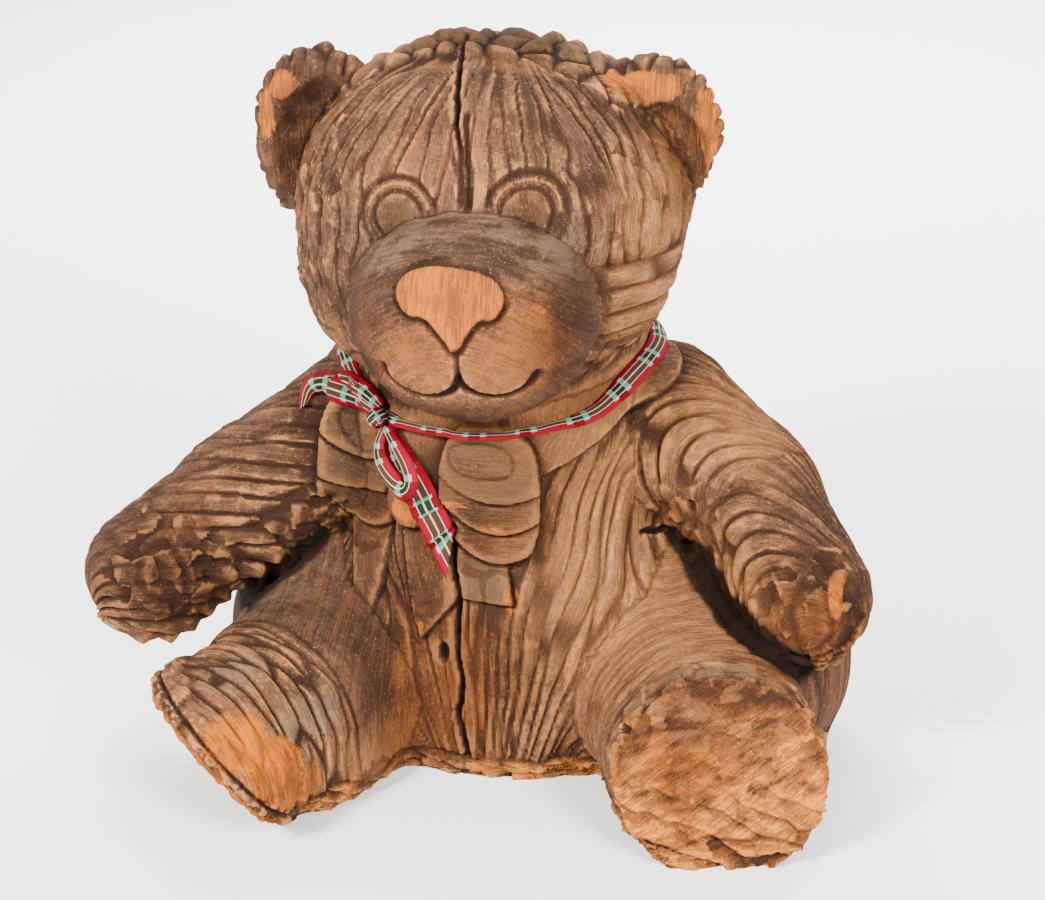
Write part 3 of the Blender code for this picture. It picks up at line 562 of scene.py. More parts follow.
def carve_bow(points, relief, cut_shading, shares):
    """The collar's band, and a bow of layered loops and two tails below its knot."""
    x, y, z = points.T
    cloth = shares["torso"] + shares["head"] + shares["left_arm"] + shares["right_arm"]
    band, near_neck = collar(points)
    round_neck = near_neck * cloth * below_jaw(points)
    wrap = ramp(-0.8, 0.8, band) * round_neck
    relief = relief * (1 - wrap) + wrap * (COLLAR_RISE + 0.3 * noise(points, 9, 71))
    # Painted shade in the groove under the collar's edge.
    cut_shading = cut_shading * (1 - wrap) + round_neck * groove(band + 0.6, 2.8)
    chest = cloth * ramp(-6, -22, y)
    for tail in (LEFT_TAIL, RIGHT_TAIL):
        off = patch_distance(x, z, tail)
        inside = ramp(0.8, -0.8, off) * chest
        relief = relief * (1 - inside) + inside * (1.8 + 0.3 * noise(points, 12, 72))
        relief = relief - chest * groove(off - 0.9, 2.6)
        # Painted shade along each tail's outline.
        cut_shading = cut_shading * (1 - inside) + chest * groove(off - 0.8, 2.6) * (1 - wrap)
    sides = (
        (LEFT_LOOPS, LEFT_LOBE, LEFT_HOLLOW, 2.0, 0.9),
        (RIGHT_LOOPS, RIGHT_LOBE, RIGHT_HOLLOW, 2.6, 1.3),
    )
    for loops, lobe, hollow, layer, sunk in sides:
        lobe_off = patch_distance(x, z, corners_cut(lobe))
        heights = [z - arc_height(x, *loop) for loop in loops]
        above = [ramp(-0.7, 0.7, height) for height in heights]
        inside = ramp(0.8, -0.8, lobe_off) * above[-1] * chest
        swell = sum(np.clip(1 - height / 12, 0, 1) ** 2 * share for height, share in zip(heights, above))
        relief = relief * (1 - inside) + inside * (0.8 + layer * sum(above) + 1.9 * swell)
        panel = patch_distance(x, z, corners_cut(hollow))
        relief = relief - chest * (sunk * ramp(0.8, -1.5, panel) + 0.9 * groove(panel + 0.6, 2.6))
        cut_shading = cut_shading * (1 - inside)
        within = ramp(1.5, -0.5, lobe_off) * chest
        # A painted highlight on each loop's rim, just above its cut.
        for height in heights:
            cut_shading = cut_shading - 0.4 * groove(height - 3.0, 3.4) * ramp(0.0, -1.5, lobe_off) * chest
        # Painted shade in the cut under each loop.
        for height in heights:
            cut = groove(height + 0.9, 2.8) * within
            relief = relief - 1.5 * cut
            cut_shading = deepest(cut_shading, 1.3 * cut)
        # Painted shade along the bow's outline and round each sunk panel.
        outline = groove(lobe_off - 0.8, 2.6) * ramp(-4, 2, heights[-1]) * chest * ramp(196, 190, z)
        cut_shading = deepest(cut_shading, outline)
        cut_shading = deepest(cut_shading, 0.55 * groove(panel + 0.6, 2.4) * chest)
    knot_x, knot_z, radius = BOW_KNOT
    off = np.hypot(x - knot_x, (z - knot_z) * 0.75)
    knot = ramp(0.5, -0.5, off - radius) * chest
    dome = 4 + 6 * np.sqrt(np.clip(1 - (off / radius) ** 2, 0, 1))
    relief = relief * (1 - knot) + knot * dome
    # Painted shade in the groove round the knot.
    ring = groove(off - radius - 1, 3) * chest
    return relief - 1.5 * ring, deepest(cut_shading * (1 - knot), ring)


BODY_SPLIT = [(-12, 142), (-12, 124), (-8, 107), (-10, 91), (-9, 74), (-7, 55), (-10, 40), (-4, 12)]
HEAD_SPLIT = [(-14, 376), (-9, 358), (-4, 339), (-2, 316)]
SECOND_HEAD_SPLIT = [(-3, 353), (2, 315)]
ARMPIT_SPLIT = [(80, 130), (88, 127), (94, 129), (104, 124), (112, 116)]
KNOT_HOLE = (-17, 73, 2.6, 6.5)


def carve_splits(points, relief, cut_shading, shares):
    """The cracks that opened as the log dried, and a knot hole, with painted shade in them and in the gap
    between the forearms and the body.
    """
    x, y, z = points.T
    sway = 0.7 * noise(points, 9, 81) + 0.4 * noise(points, 4, 82)
    front = ramp(-20, -30, y)
    body = groove(path_distance(x + sway, z, BODY_SPLIT), 4.2) * shares["torso"] * front
    head = groove(path_distance(x + sway, z, HEAD_SPLIT), 3.4) * shares["head"] * ramp(0, -12, y)
    head = head * (0.45 + 0.55 * ramp(326, 348, z))
    second = groove(path_distance(x + sway, z, SECOND_HEAD_SPLIT), 4.4) * shares["head"] * ramp(0, -12, y)
    armpit = groove(path_distance(x, z + sway, ARMPIT_SPLIT), 3.2) * shares["torso"] * ramp(0, -8, y)
    hole_x, hole_z, wide, tall = KNOT_HOLE
    hole = ramp(1.2, 0.7, np.hypot((x - hole_x) / wide, (z - hole_z) / tall)) * front * shares["torso"]
    relief = relief - SPLIT_DEPTH * (body + 0.8 * head + 0.45 * second + 0.6 * armpit) - 4.5 * hole
    # Painted shade on the surfaces that face each other across the gap between the forearms and the body.
    arms = np.min([mass.distance(points) for mass in FOREARMS], axis=0)
    rest = np.min([mass.distance(points) for mass in BODY], axis=0)
    gap = ramp(14.5, 9.5, np.maximum(arms, rest) + 1.5 * noise(points, 9, 83)) * ramp(136, 126, z)
    # Painted shade in the cracks, the knot hole and that gap.
    dark = np.max([1.4 * body, 1.3 * head, 0.9 * second, 1.2 * armpit, 1.3 * hole, 1.3 * gap], axis=0)
    return relief, deepest(cut_shading, dark)


PADS = (((-163, -80, 108), (1.15, 1.0, 0.72)), ((170, -78, 110), (1.2, 1.0, 0.72)))
PAD_RADIUS = 19.0
CHOPPED = (((-158, -70, 104), 42), ((170, -70, 104), 42), ((100, -44, 146), 26), ((-92, -40, 134), 24))


def carve_pads(points, relief, cut_shading, shares):
    """Paws and elbows chopped in facets, and an uneven oval pad of rings on each paw."""
    for middle, reach in CHOPPED:
        off = np.linalg.norm(points - np.array(middle), axis=1) + 7 * noise(points, 15, 95)
        near = off < reach + 2
        rough = ramp(reach, reach * 0.6, off[near])
        rough = rough * (shares["left_arm"] + shares["right_arm"] + shares["torso"])[near]
        under = ramp(92, 76, points[near][:, 2])
        rough = rough * (1 - 0.7 * under)
        facets = 3.8 * chips(points[near], 10.5, 96) + 0.3
        relief[near] = relief[near] + 1.5 * under
        relief[near] = relief[near] * (1 - 0.75 * rough) + rough * facets
        cut_shading[near] = cut_shading[near] * (1 - 0.7 * rough)
    for (middle, squeeze), region in zip(PADS, ("left_arm", "right_arm")):
        bent = points + 3.0 * np.stack([noise(points, 17, seed) for seed in (92, 93, 94)], axis=1)
        off = np.linalg.norm((bent - np.array(middle)) * np.array(squeeze), axis=1)
        pad = ramp(PAD_RADIUS + 2, PAD_RADIUS - 2, off) * shares[region]
        rings = 0.5 - 0.5 * np.cos(2 * math.pi * off / 8.5)
        relief = relief * (1 - 0.5 * pad) + pad * (0.4 - 1.5 * rings)
        # Painted shade in the pad's ring grooves.
        cut_shading = cut_shading * (1 - pad) + 0.5 * pad * rings**3
    return relief, cut_shading


GRAIN = np.array(((0.24, 0, -0.14), (0, 1, 0), (-0.47, 0, 0.88)))
LAYERS = (0.35, 0.15, 0.92)


def layered(points, pitch, seed):
    """Broken layers: how high each point stands in its layer, and the crack under it."""
    level = (points @ np.array(LAYERS) + 9 * noise(points, 24, seed) + 3 * noise(points, 9, seed + 1)) / pitch
    part = level - np.floor(level)
    crack = ramp(0.16, 0.04, part) * ramp(-0.3, 0.3, noise(points, 18, seed + 2))
    return ramp(0, 0.2, part) * (1 - 0.8 * part), crack


def carve_soles(points, relief, cut_shading, shares):
    """Soles chopped flat, rough along the grain, with a broken rim, and the split behind the left one."""
    for foot in FEET:
        behind = behind_sole(points, foot)
        near = (behind < 16) & (shares[foot.region] > 0)
        spots = points[near]
        facets = chips(spots + 3 * noise(spots, 12, 103)[:, None], 12, 104)
        height, crack = layered(spots, 12, 105)
        low = ramp(62, 22, spots[:, 2])
        rough = 1.2 * noise(spots, 9, 101) + 0.9 * noise(spots @ GRAIN, 3.4, 102) + 0.9 * facets
        rough = rough + 2.4 * low * (height - 0.5)
        flat = ramp(3.2, 0.6, behind[near]) * shares[foot.region][near]
        rim = ramp(12, 4, behind[near]) * shares[foot.region][near]
        relief[near] = relief[near] + rim * (1 - flat) * (0.6 + 1.2 * low) * (2.2 * facets - 0.2)
        relief[near] = relief[near] * (1 - flat) + flat * rough
        # Painted shade in the cracks between the sole's layers.
        cut_shading[near] = cut_shading[near] * (1 - flat) + flat * low * 0.55 * crack
        if foot.region == "left_leg":
            split = shares[foot.region] * groove(behind - 7.5, 3.0)
            relief = relief - 2.8 * split
            # Painted shade in the split.
            cut_shading = deepest(cut_shading, 1.2 * split)
    return relief, cut_shading


BROKEN_EDGE = 17.0


def break_base(points, relief, cut_shading):
    """The ragged layered edge that the figure sits on."""
    z = points[:, 2]
    low = ramp(BROKEN_EDGE, BROKEN_EDGE - 5, z + 5 * noise(points, 16, 111))
    near = low > 0
    layers = np.zeros(len(points))
    cracks = np.zeros(len(points))
    height, crack = layered(points[near] * (0.5, 0.5, 1), 6.5, 114)
    layers[near] = 1.3 * chips(points[near] * (1, 1, 1.8), 12, 112) + 1.6 * (height - 0.5)
    cracks[near] = crack
    relief = relief * (1 - low) + low * (-1.0 + 2.3 * layers)
    # Darker along the line where the broken edge begins, with painted shade in its cracks.
    return relief, deepest(cut_shading * (1 - low), 0.8 * low * (1 - low) * 4 + low * cracks)


def carving(points):
    """How far the carved surface stands off the smooth form, how much painted shade its cuts get, its
    strokes' chart.
    """
    shares = region_shares(points)
    coats = {
        "head": head_fur(points),
        "torso": torso_fur(points),
        "left_arm": arm_fur(points, "left_arm", 31, 15.0, 1.0, -0.9),
        "right_arm": arm_fur(points, "right_arm", 35, 10.5, 2.8, 0.88),
        "left_leg": leg_fur(points, "left_leg", 41, 52, 0.08),
        "right_leg": leg_fur(points, "right_leg", 45, 62, 0.42),
        "ear": ear_fur(points),
    }
    relief = sum(shares[region] * coat[0] for region, coat in coats.items())
    cut_shading = sum(shares[region] * coat[1] for region, coat in coats.items())
    fade = 0.4 + 0.6 * ramp(-0.45, 0.35, noise(points, 26, 131))
    cut_shading = cut_shading * np.where(cut_shading > 0, fade, ramp(-0.3, 0.4, noise(points, 15, 132)))
    relief, cut_shading = carve_face(points, relief, cut_shading, shares)
    relief, cut_shading = carve_bow(points, relief, cut_shading, shares)
    relief, cut_shading = carve_pads(points, relief, cut_shading, shares)
    relief, cut_shading = carve_soles(points, relief, cut_shading, shares)
    relief, cut_shading = carve_splits(points, relief, cut_shading, shares)
    relief, cut_shading = break_base(points, relief, cut_shading)
    across, along = stroke_chart(points, shares, coats)
    return relief + 0.20 * noise(points, 5.5, 121) + 0.10 * noise(points, 2.8, 122), cut_shading, across, along


def stroke_chart(points, shares, coats):
    """Places across and along the strokes of the gouge, for the fibres that follow them."""
    x, y, z = points.T
    across, along = x.copy(), z.copy()
    for region, coat in coats.items():
        own = shares[region] > 0.5
        across[own], along[own] = coat[2][own], coat[3][own]
    brushed = shares["muzzle"] > 0.5
    across[brushed] = np.hypot(x - 3, z - 222)[brushed]
    along[brushed] = (np.arctan2(x - 3, z - 222) * 60)[brushed]
    nose = brushed & (patch_distance(x, z, NOSE) < 1)
    across[nose], along[nose] = x[nose], z[nose]
    bow = [patch_distance(x, z, corners_cut(lobe)) for lobe in (LEFT_LOBE, RIGHT_LOBE)]
    folded = (np.min(bow, axis=0) < 0) & (y < -20) & (shares["torso"] > 0.5)
    across[folded], along[folded] = z[folded], x[folded]
    for foot in FEET:
        sole = (behind_sole(points, foot) < 2.5) & (shares[foot.region] > 0.5)
        across[sole] = (0.64 * x - 0.77 * z)[sole]
        along[sole] = (0.77 * x + 0.64 * z)[sole]
    broken = z < BROKEN_EDGE - 4 + 5 * noise(points, 16, 111)
    across[broken], along[broken] = 1.4 * z[broken], (x + y)[broken]
    return across, along


PATCHES = {
    "bare": (
        ((-116, -18, 336), (5, 12, 12)),
        ((-107, -20, 352), (7, 12, 8)),
        ((72, -19, 357), (20, 12, 8)),
        ((106, -15, 342), (7, 10, 24)),
        ((-35, -62, 147), (6, 8, 7)),
        ((12, -68, 142), (9, 6, 2)),
        ((-10, -68, 154), (8, 6, 2)),
        ((19, -77, 106), (4, 6, 7)),
        ((-28, -74, 87), (3, 6, 4)),
        ((181, -72, 121), (4, 9, 14)),
        ((-100, -166, 62), (17, 16, 15)),
        ((-84, -158, 44), (17, 18, 16)),
        ((-74, -146, 26), (12, 16, 12)),
        ((72, -68, 260), (6, 5, 3)),
    ),
    "rust": (
        ((-18, -140, 254), (24, 26, 18)),
        ((32, -136, 264), (26, 26, 22)),
        ((-16, -78, 54), (26, 20, 44)),
        ((170, -80, 100), (22, 26, 26)),
    ),
    "tan": (
        ((40, -126, 276), (6, 12, 5)),
    ),
    "pale": (
        ((0, -36, 371), (60, 4, 4)),
        ((118, -84, 98), (44, 46, 26)),
        ((92, -60, 120), (26, 34, 30)),
        ((60, -66, 125), (40, 40, 62)),
        ((120, -30, 190), (26, 30, 20)),
        ((-52, -96, 24), (20, 24, 14)),
        ((88, -44, 288), (22, 40, 46)),
    ),
    "grey": (
        ((-26, -103, 300), (34, 24, 13)),
        ((30, -98, 300), (36, 24, 14)),
        ((0, -10, 374), (64, 26, 12)),
        ((-95, -45, 70), (40, 40, 26)),
        ((2, -62, 172), (24, 18, 20)),
        ((-64, -56, 165), (18, 22, 20)),
        ((4, -76, 112), (16, 6, 12)),
        ((-113, -131, 84), (16, 14, 7)),
        ((135, -122, 92), (44, 12, 10)),
        ((-76, -134, 60), (24, 18, 9)),
        ((113, -128, 76), (18, 10, 13)),
    ),
    "dark": (
        ((0, -10, 374), (50, 20, 8)),
        ((-84, -10, 319), (27, 18, 36)),
        ((82, -10, 319), (27, 18, 29)),
        ((110, -131, 50), (17, 10, 30)),
        ((132, -124, 86), (30, 10, 8)),
        # Dark stain at the muzzle's sides, with painted shade at the muzzle's edge.
        ((50, -112, 262), (14, 22, 26)),
        ((-48, -108, 252), (14, 22, 22)),
        # Painted shade in the armpits.
        ((-86, -40, 129), (30, 24, 14)),
        ((100, -44, 140), (22, 24, 16)),
        ((-158, -76, 104), (30, 40, 30)),
        ((168, -76, 104), (30, 40, 30)),
        ((-62, -58, 152), (28, 30, 40)),
        ((4, -66, 156), (38, 24, 46)),
        ((-38, -70, 96), (40, 26, 40)),
        ((4, -76, 76), (26, 20, 40)),
        ((-34, -80, 40), (44, 26, 36)),
        # Painted shade on the haunch behind the right arm.
        ((136, -20, 84), (44, 34, 50)),
        # Painted shadow under the chin.
        ((6, -72, 214), (64, 50, 17)),
        ((-34, -88, 306), (9, 9, 9)),
        ((29, -88, 311), (8, 9, 8)),
    ),
}


def patch_masks(points):
    """For each kind of patch, 1 at the middle and 0.5 on its edge: weathered, bare and stained places, and
    among the dark kind also patches of painted shade.
    """
    masks = {}
    for kind, patches in PATCHES.items():
        masks[kind] = np.zeros(len(points))
        for middle, reach in patches:
            off = np.linalg.norm((points - np.array(middle)) / np.array(reach), axis=1)
            masks[kind] = np.maximum(masks[kind], np.clip(1 - off / 2, 0, 1))
    return masks


def weathering_and_shade(points):
    """The masks that the wood's material reads, from the smooth form's own places: weathered, bare and
    stained patches, patches of painted shade, and the painted shade of the cuts.
    """
    x, y, z = points.T
    shares = region_shares(points)
    masks = patch_masks(points)
    masks["cut_shading"], masks["across"], masks["along"] = carving(points)[1:]
    nose = shares["muzzle"] * ramp(-90, -120, y) * np.clip(0.5 - patch_distance(x, z, NOSE) / 4, 0, 1)
    masks["bare"] = np.maximum(masks["bare"], nose)
    for foot in FEET:
        sole = np.clip(1 - behind_sole(points, foot) / 5, 0, 1) * shares[foot.region]
        kind = "bare" if foot.region == "left_leg" else "tan"
        masks[kind] = np.maximum(masks[kind], sole)
    base = np.clip(0.5 - (z - BROKEN_EDGE + 4 * noise(points, 16, 111)) / 14, 0, 1)
    masks["tan"] = np.maximum(masks["tan"], 0.45 * base * ramp(20, 0, y))
    band, near_neck = collar(points)
    wrap = ramp(-0.8, 0.8, band) * near_neck * below_jaw(points)
    masks["pale"] = np.maximum(masks["pale"], 0.85 * wrap * (shares["torso"] + shares["head"]))
    return masks


def pick(*pieces):
    """Selects these pieces alone, the first of them active."""
    bpy.ops.object.select_all(action="DESELECT")
    for piece in pieces:
        piece.select_set(True)
    bpy.context.view_layer.objects.active = pieces[0]


def add_lump(lump, swell):
    """A ball stretched and turned as the lump is."""
    bpy.ops.mesh.primitive_uv_sphere_add(
        segments=32,
        ring_count=20,
        radius=1,
        location=lump.middle,
        rotation=[math.radians(angle) for angle in lump.turn],
        scale=[radius + swell for radius in lump.radii],
    )
    return [bpy.context.object]


def add_limb(limb, swell):
    """Two balls and the cone between them."""
    start, end = Vector(limb.start), Vector(limb.end)
    first, last = limb.start_radius + swell, limb.end_radius + swell
    made = []
    for middle, radius in ((start, first), (end, last)):
        bpy.ops.mesh.primitive_uv_sphere_add(segments=24, ring_count=16, radius=radius, location=middle)
        made.append(bpy.context.object)
    bpy.ops.mesh.primitive_cone_add(
        vertices=24,
        radius1=first,
        radius2=last,
        depth=(end - start).length,
        location=(start + end) / 2,
        rotation=(end - start).to_track_quat("Z", "Y").to_euler(),
    )
    return made + [bpy.context.object]


def apply(piece, kind, **settings):
    """Adds a modifier of that kind to the piece and applies it."""
    pick(piece)
    step = piece.modifiers.new(kind.title(), kind)
    for name, value in settings.items():
        setattr(step, name, value)
    bpy.ops.object.modifier_apply(modifier=step.name)


def fuse(piece, voxel):
    """Fuses the piece into one closed skin of even faces."""
    apply(piece, "REMESH", mode="VOXEL", voxel_size=voxel)


def combine(piece, operation, tool):
    """Cuts the piece with the tool or joins the tool to it, and uses the tool up."""
    apply(piece, "BOOLEAN", operation=operation, object=tool)
    bpy.data.objects.remove(tool)


def rough_out(name, masses, swell=0.0):
    """The masses as primitives fused into one rough piece, larger by swell all round."""
    made = []
    for mass in masses:
        made += (add_lump if isinstance(mass, Lump) else add_limb)(mass, swell)
    pick(*made)
    bpy.ops.object.join()
    piece = bpy.context.object
    piece.name = name
    bpy.ops.object.transform_apply(location=True, rotation=True, scale=True)
    fuse(piece, ROUGH_VOXEL)
    return piece


def cut_level(piece, height):
    """Cuts away what is below the height and closes the cut with one flat face."""
    body = bmesh.new()
    body.from_mesh(piece.data)
    geometry = body.verts[:] + body.edges[:] + body.faces[:]
    cut = bmesh.ops.bisect_plane(
        body, geom=geometry, dist=1e-5, plane_co=(0, 0, height), plane_no=(0, 0, 1), clear_inner=True
    )
    rim = [part for part in cut["geom_cut"] if isinstance(part, bmesh.types.BMEdge)]
    bmesh.ops.triangle_fill(body, edges=rim, use_beauty=True, use_dissolve=False, normal=(0, 0, -1))
    bmesh.ops.recalc_face_normals(body, faces=body.faces[:])
    bmesh.ops.triangulate(body, faces=body.faces[:])
    body.to_mesh(piece.data)
    body.free()


def positions(piece):
    """Where the piece's points are, one in each row."""
    flat = np.empty(len(piece.data.vertices) * 3, np.float32)
    piece.data.vertices.foreach_get("co", flat)
    return flat.reshape(-1, 3).astype(float)


def set_positions(piece, points):
    """Moves the piece's points there."""
    piece.data.vertices.foreach_set("co", points.astype(np.float32).ravel())
    piece.data.update()


def keep(piece, name, values):
    """Stores a value for each point of the piece, for its material."""
    layer = piece.data.attributes.new(name, "FLOAT", "POINT")
    layer.data.foreach_set("value", values.astype(np.float32))


def eased(piece, values, rounds):
    """The values spread to neighbouring points, round after round."""
    ends = np.empty(len(piece.data.edges) * 2, np.int64)
    piece.data.edges.foreach_get("vertices", ends)
    first, second = ends.reshape(-1, 2).T
    count = np.bincount(ends, minlength=len(values))
    for _ in range(rounds):
        summed = np.bincount(first, values[second], len(values))
        summed = summed + np.bincount(second, values[first], len(values))
        values = (values + summed / count) / 2
    return values


def unit(vectors):
    """The vectors at length 1."""
    return vectors / np.linalg.norm(vectors, axis=-1, keepdims=True)


def make_bear():
    """The carved figure, from its rough masses to the masks that its material reads."""
    bear = rough_out("carved_bear", BODY)
    combine(bear, "DIFFERENCE", rough_out("arm_clearance", FOREARMS, ARM_GAP))
    combine(bear, "UNION", rough_out("arms", UPPER_ARMS + FOREARMS))
    ears = rough_out("ears", EARS)
    combine(ears, "DIFFERENCE", rough_out("cups", [ear.hollow for ear in EARS]))
    combine(bear, "UNION", ears)
    for voxel, rounds in ((ROUGH_VOXEL, 6), (FINE_VOXEL, 3)):
        fuse(bear, voxel)
        set_positions(bear, draw_onto_form(positions(bear), rounds))
    points = positions(bear)
    normal = unit(slope(points)[1])
    set_positions(bear, points + carving(points)[0][:, None] * normal)
    cut_level(bear, -WASTE)
    bear.data.calc_loop_triangles()
    apply(bear, "DECIMATE", ratio=min(1.0, BEAR_TRIANGLES / len(bear.data.loop_triangles)))
    cut_level(bear, 0)
    carved = positions(bear)
    smooth = draw_onto_form(carved, rounds=3)
    normal = unit(slope(smooth)[1])
    relief = ((carved - smooth) * normal).sum(axis=1)
    relief[carved[:, 2] < 0.01] = 0
    # The material paints highlights on the crests and shade in the hollows from these two.
    keep(bear, "crest", relief - eased(bear, relief, 4))
    keep(bear, "hollow", eased(bear, relief, 4) - eased(bear, relief, 70))
    for name, mask in weathering_and_shade(smooth).items():
        keep(bear, name, mask)
    return bear


NECK = np.array((2.0, 5.0))
NECK_STEPS = 360
BAND_RISE = (
    (-180, -130, -95, -80, -70, -55, 45, 66, 80, 95, 110),
    (-2, 0, 6, 12, 10, 0, 0, 6, 6.5, 4, -1),
)
BAND_LEAN = (
    (-180, -115, -105, -76, -62, -30, 15, 42, 62, 100, 180),
    (12, 30, 58, 62, 60, 80, 82, 66, 72, 60, 12),
)
BAND_LIFT = ((0, 45, 62, 105, 125), (0.25, 0.25, 0.9, 0.9, 0.1))
BAND_OUT = ((0, 50, 66, 100, 118), (0, 0, 3, 3, 0))
BAND_WIDTH = (
    (-180, -130, -80, -60, -45, -30, 22, 45, 62, 100, 180),
    (1, 0.9, 0.6, 0.6, 0.6, 0.4, 0.4, 0.62, 0.8, 0.6, 1),
)
CRUMPLED = (-64, -36)
CLOTH_GAP = 0.5
CLOTH_ROWS = 13
CLOTH_THICKNESS = 0.3
END_STEPS = 60
PUSHES = 60


def neck_ring():
    """Points round the neck where the ribbon leaves the wood, and the angle of each in degrees."""
    ring, angles = [], np.arange(NECK_STEPS) * 360 / NECK_STEPS - 180
    reach = np.arange(30.0, 130.0, 0.5)
    for angle, rise in zip(np.radians(angles), np.interp(angles, *BAND_RISE, period=360)):
        ray = np.empty((len(reach), 3))
        ray[:, 0] = NECK[0] + reach * math.sin(angle)
        ray[:, 1] = NECK[1] - reach * math.cos(angle)
        ray[:, 2] = (RIBBON_LEVEL - ray[:, :2] @ RIBBON_NORMAL[:2]) / RIBBON_NORMAL[2] + rise
        ring.append(ray[np.argmax(form(ray) > 0)])
    return np.array(ring), angles


def smoothed(route, rounds, closed):
    """The route with each point drawn towards its neighbours, round after round."""
    for _ in range(rounds):
        middle = (np.roll(route, 1, axis=0) + np.roll(route, -1, axis=0)) / 2
        if not closed:
            middle[[0, -1]] = route[[0, -1]]
        route = (route + middle) / 2
    return route


def clearance(wood, place):
    """How far the place is from the wood, below 0 inside it."""
    near, normal, _, distance = wood.find_nearest(place)
    return math.copysign(distance, (place - near).dot(normal))


def band_rows(wood, route, facing, widths, pushes, curl=0.0, slant=0.0):
    """Rows of points across a band of cloth, each row pushed out until it clears the wood."""
    along = unit(np.gradient(route, axis=0))
    facing = unit(facing - (facing * along).sum(axis=1, keepdims=True) * along)
    across = np.cross(along, facing)
    share = np.linspace(-1, 1, CLOTH_ROWS)
    bend = np.broadcast_to(curl, len(route))
    cut = slant * np.linspace(0, 1, len(route)) ** 12
    rows = []
    for middle, side, out, way, width, push, fold, skew in zip(
        route, across, facing, along, widths, pushes, bend, cut
    ):
        row = middle + side * share[:, None] * width / 2 - out * (share**2 * fold * width / 2)[:, None]
        row = row + way * (share * skew)[:, None]
        for _ in range(PUSHES):
            if min(clearance(wood, Vector(spot)) for spot in row) > CLOTH_GAP:
                break
            row = row + push * 0.35
        rows.append(row)
    return np.array(rows)


def lay_cloth(name, rows, start=0.0):
    """A strip of cloth through the rows of points, its UV across it and along it in widths."""
    count, wide = rows.shape[:2]
    bpy.ops.mesh.primitive_grid_add(x_subdivisions=wide - 1, y_subdivisions=count - 1, size=2)
    strip = bpy.context.object
    strip.name = name
    places = positions(strip)
    column = np.rint((places[:, 0] + 1) / 2 * (wide - 1)).astype(int)
    row = np.rint((places[:, 1] + 1) / 2 * (count - 1)).astype(int)
    set_positions(strip, rows[row, column])
    steps = np.linalg.norm(np.diff(rows[:, wide // 2], axis=0), axis=1)
    travel = start + np.concatenate([[0], np.cumsum(steps)]) * SHARE / RIBBON_WIDTH
    corner = np.empty(len(strip.data.loops), np.int64)
    strip.data.loops.foreach_get("vertex_index", corner)
    uv = np.stack([column[corner] / (wide - 1), travel[row[corner]]], axis=1)
    strip.data.uv_layers[0].data.foreach_set("uv", uv.astype(np.float32).ravel())
    return strip, travel[-1]


def through(keys, count):
    """A smooth route of that many points through the keys."""
    keys = np.array(keys, float)
    spots = np.concatenate([[0], np.cumsum(np.linalg.norm(np.diff(keys[:, :3], axis=0), axis=1))])
    even = np.linspace(0, spots[-1], count)
    route = np.stack([np.interp(even, spots, column) for column in keys.T], axis=1)
    return smoothed(route, count // 4, False)


TAIL = [(-48, -60, 190), (-41, -66, 178), (-31, -71, 163), (-22, -75, 148), (-12, -78, 130)]
LOOP = [(-49, -62, 191), (-53, -67, 182), (-51, -71, 173), (-44, -75, 165), (-37, -78, 162)]
LOOP += [(-33, -79, 166), (-36, -76, 174), (-43, -70, 183), (-48, -65, 190)]
SHORT_END = [(-52, -56, 195), (-63, -48, 198), (-76, -40, 200), (-88, -34, 201)]
SHORT_END += [(-95, -33, 197), (-97, -36, 188)]
PLEAT = [(-52, -56, 198), (-62, -50, 203), (-73, -43, 206), (-84, -36, 204)]
CORNER = [(-60, -48, 199), (-66, -46, 203), (-70, -46, 210)]
KNOT_PLACE = (-51, -58, 193)
KNOT_CLEARANCE = 6.5
KNOT_TURNS = 1.15
KNOT_LIFT, KNOT_SIDE = 5.6, 5.2


def crumple(route, angles):
    """How far the band swells in and out where it is bunched beside the knot."""
    low, high = CRUMPLED
    bunched = ramp(low - 12, low + 4, angles) * ramp(high + 8, high - 4, angles)
    folds = 1.6 * noise(route, 5.5, 202) + 1.1 * noise(route, 3.0, 203)
    return bunched * folds + 0.5 * noise(route, 9, 201)


def make_band(wood, width):
    """The ribbon's turn round the neck, level at the back and tipped up under the chin."""
    ring, angles = neck_ring()
    ring = smoothed(ring, 40, True)
    tangent = unit(np.roll(ring, -1, axis=0) - np.roll(ring, 1, axis=0))
    level = unit(np.cross(tangent, (0, 0, -1)))
    level *= np.sign(((ring - (*NECK, 0)) * level)[:, :2].sum(axis=1, keepdims=True))
    lean = np.radians(np.interp(angles, *BAND_LEAN) + 22 * crumple(ring, angles))[:, None]
    facing = np.cos(lean) * level + np.sin(lean) * (0, 0, 1)
    out = np.interp(np.abs(angles), *BAND_OUT)[:, None]
    ring = ring + crumple(ring, angles)[:, None] * facing + out * level
    closing = np.r_[np.arange(NECK_STEPS), 0]
    outward = unit(level + np.interp(np.abs(angles), *BAND_LIFT)[:, None] * (0, 0, 1))
    widths = width * np.interp(angles, *BAND_WIDTH)
    fold = 1.3 * (1 - np.interp(angles, *BAND_WIDTH))
    band = band_rows(wood, ring[closing], facing[closing], widths[closing], outward[closing], fold[closing])
    for _ in range(5):
        band[1:-1] = (band[:-2] + 2 * band[1:-1] + band[2:]) / 4
    return band


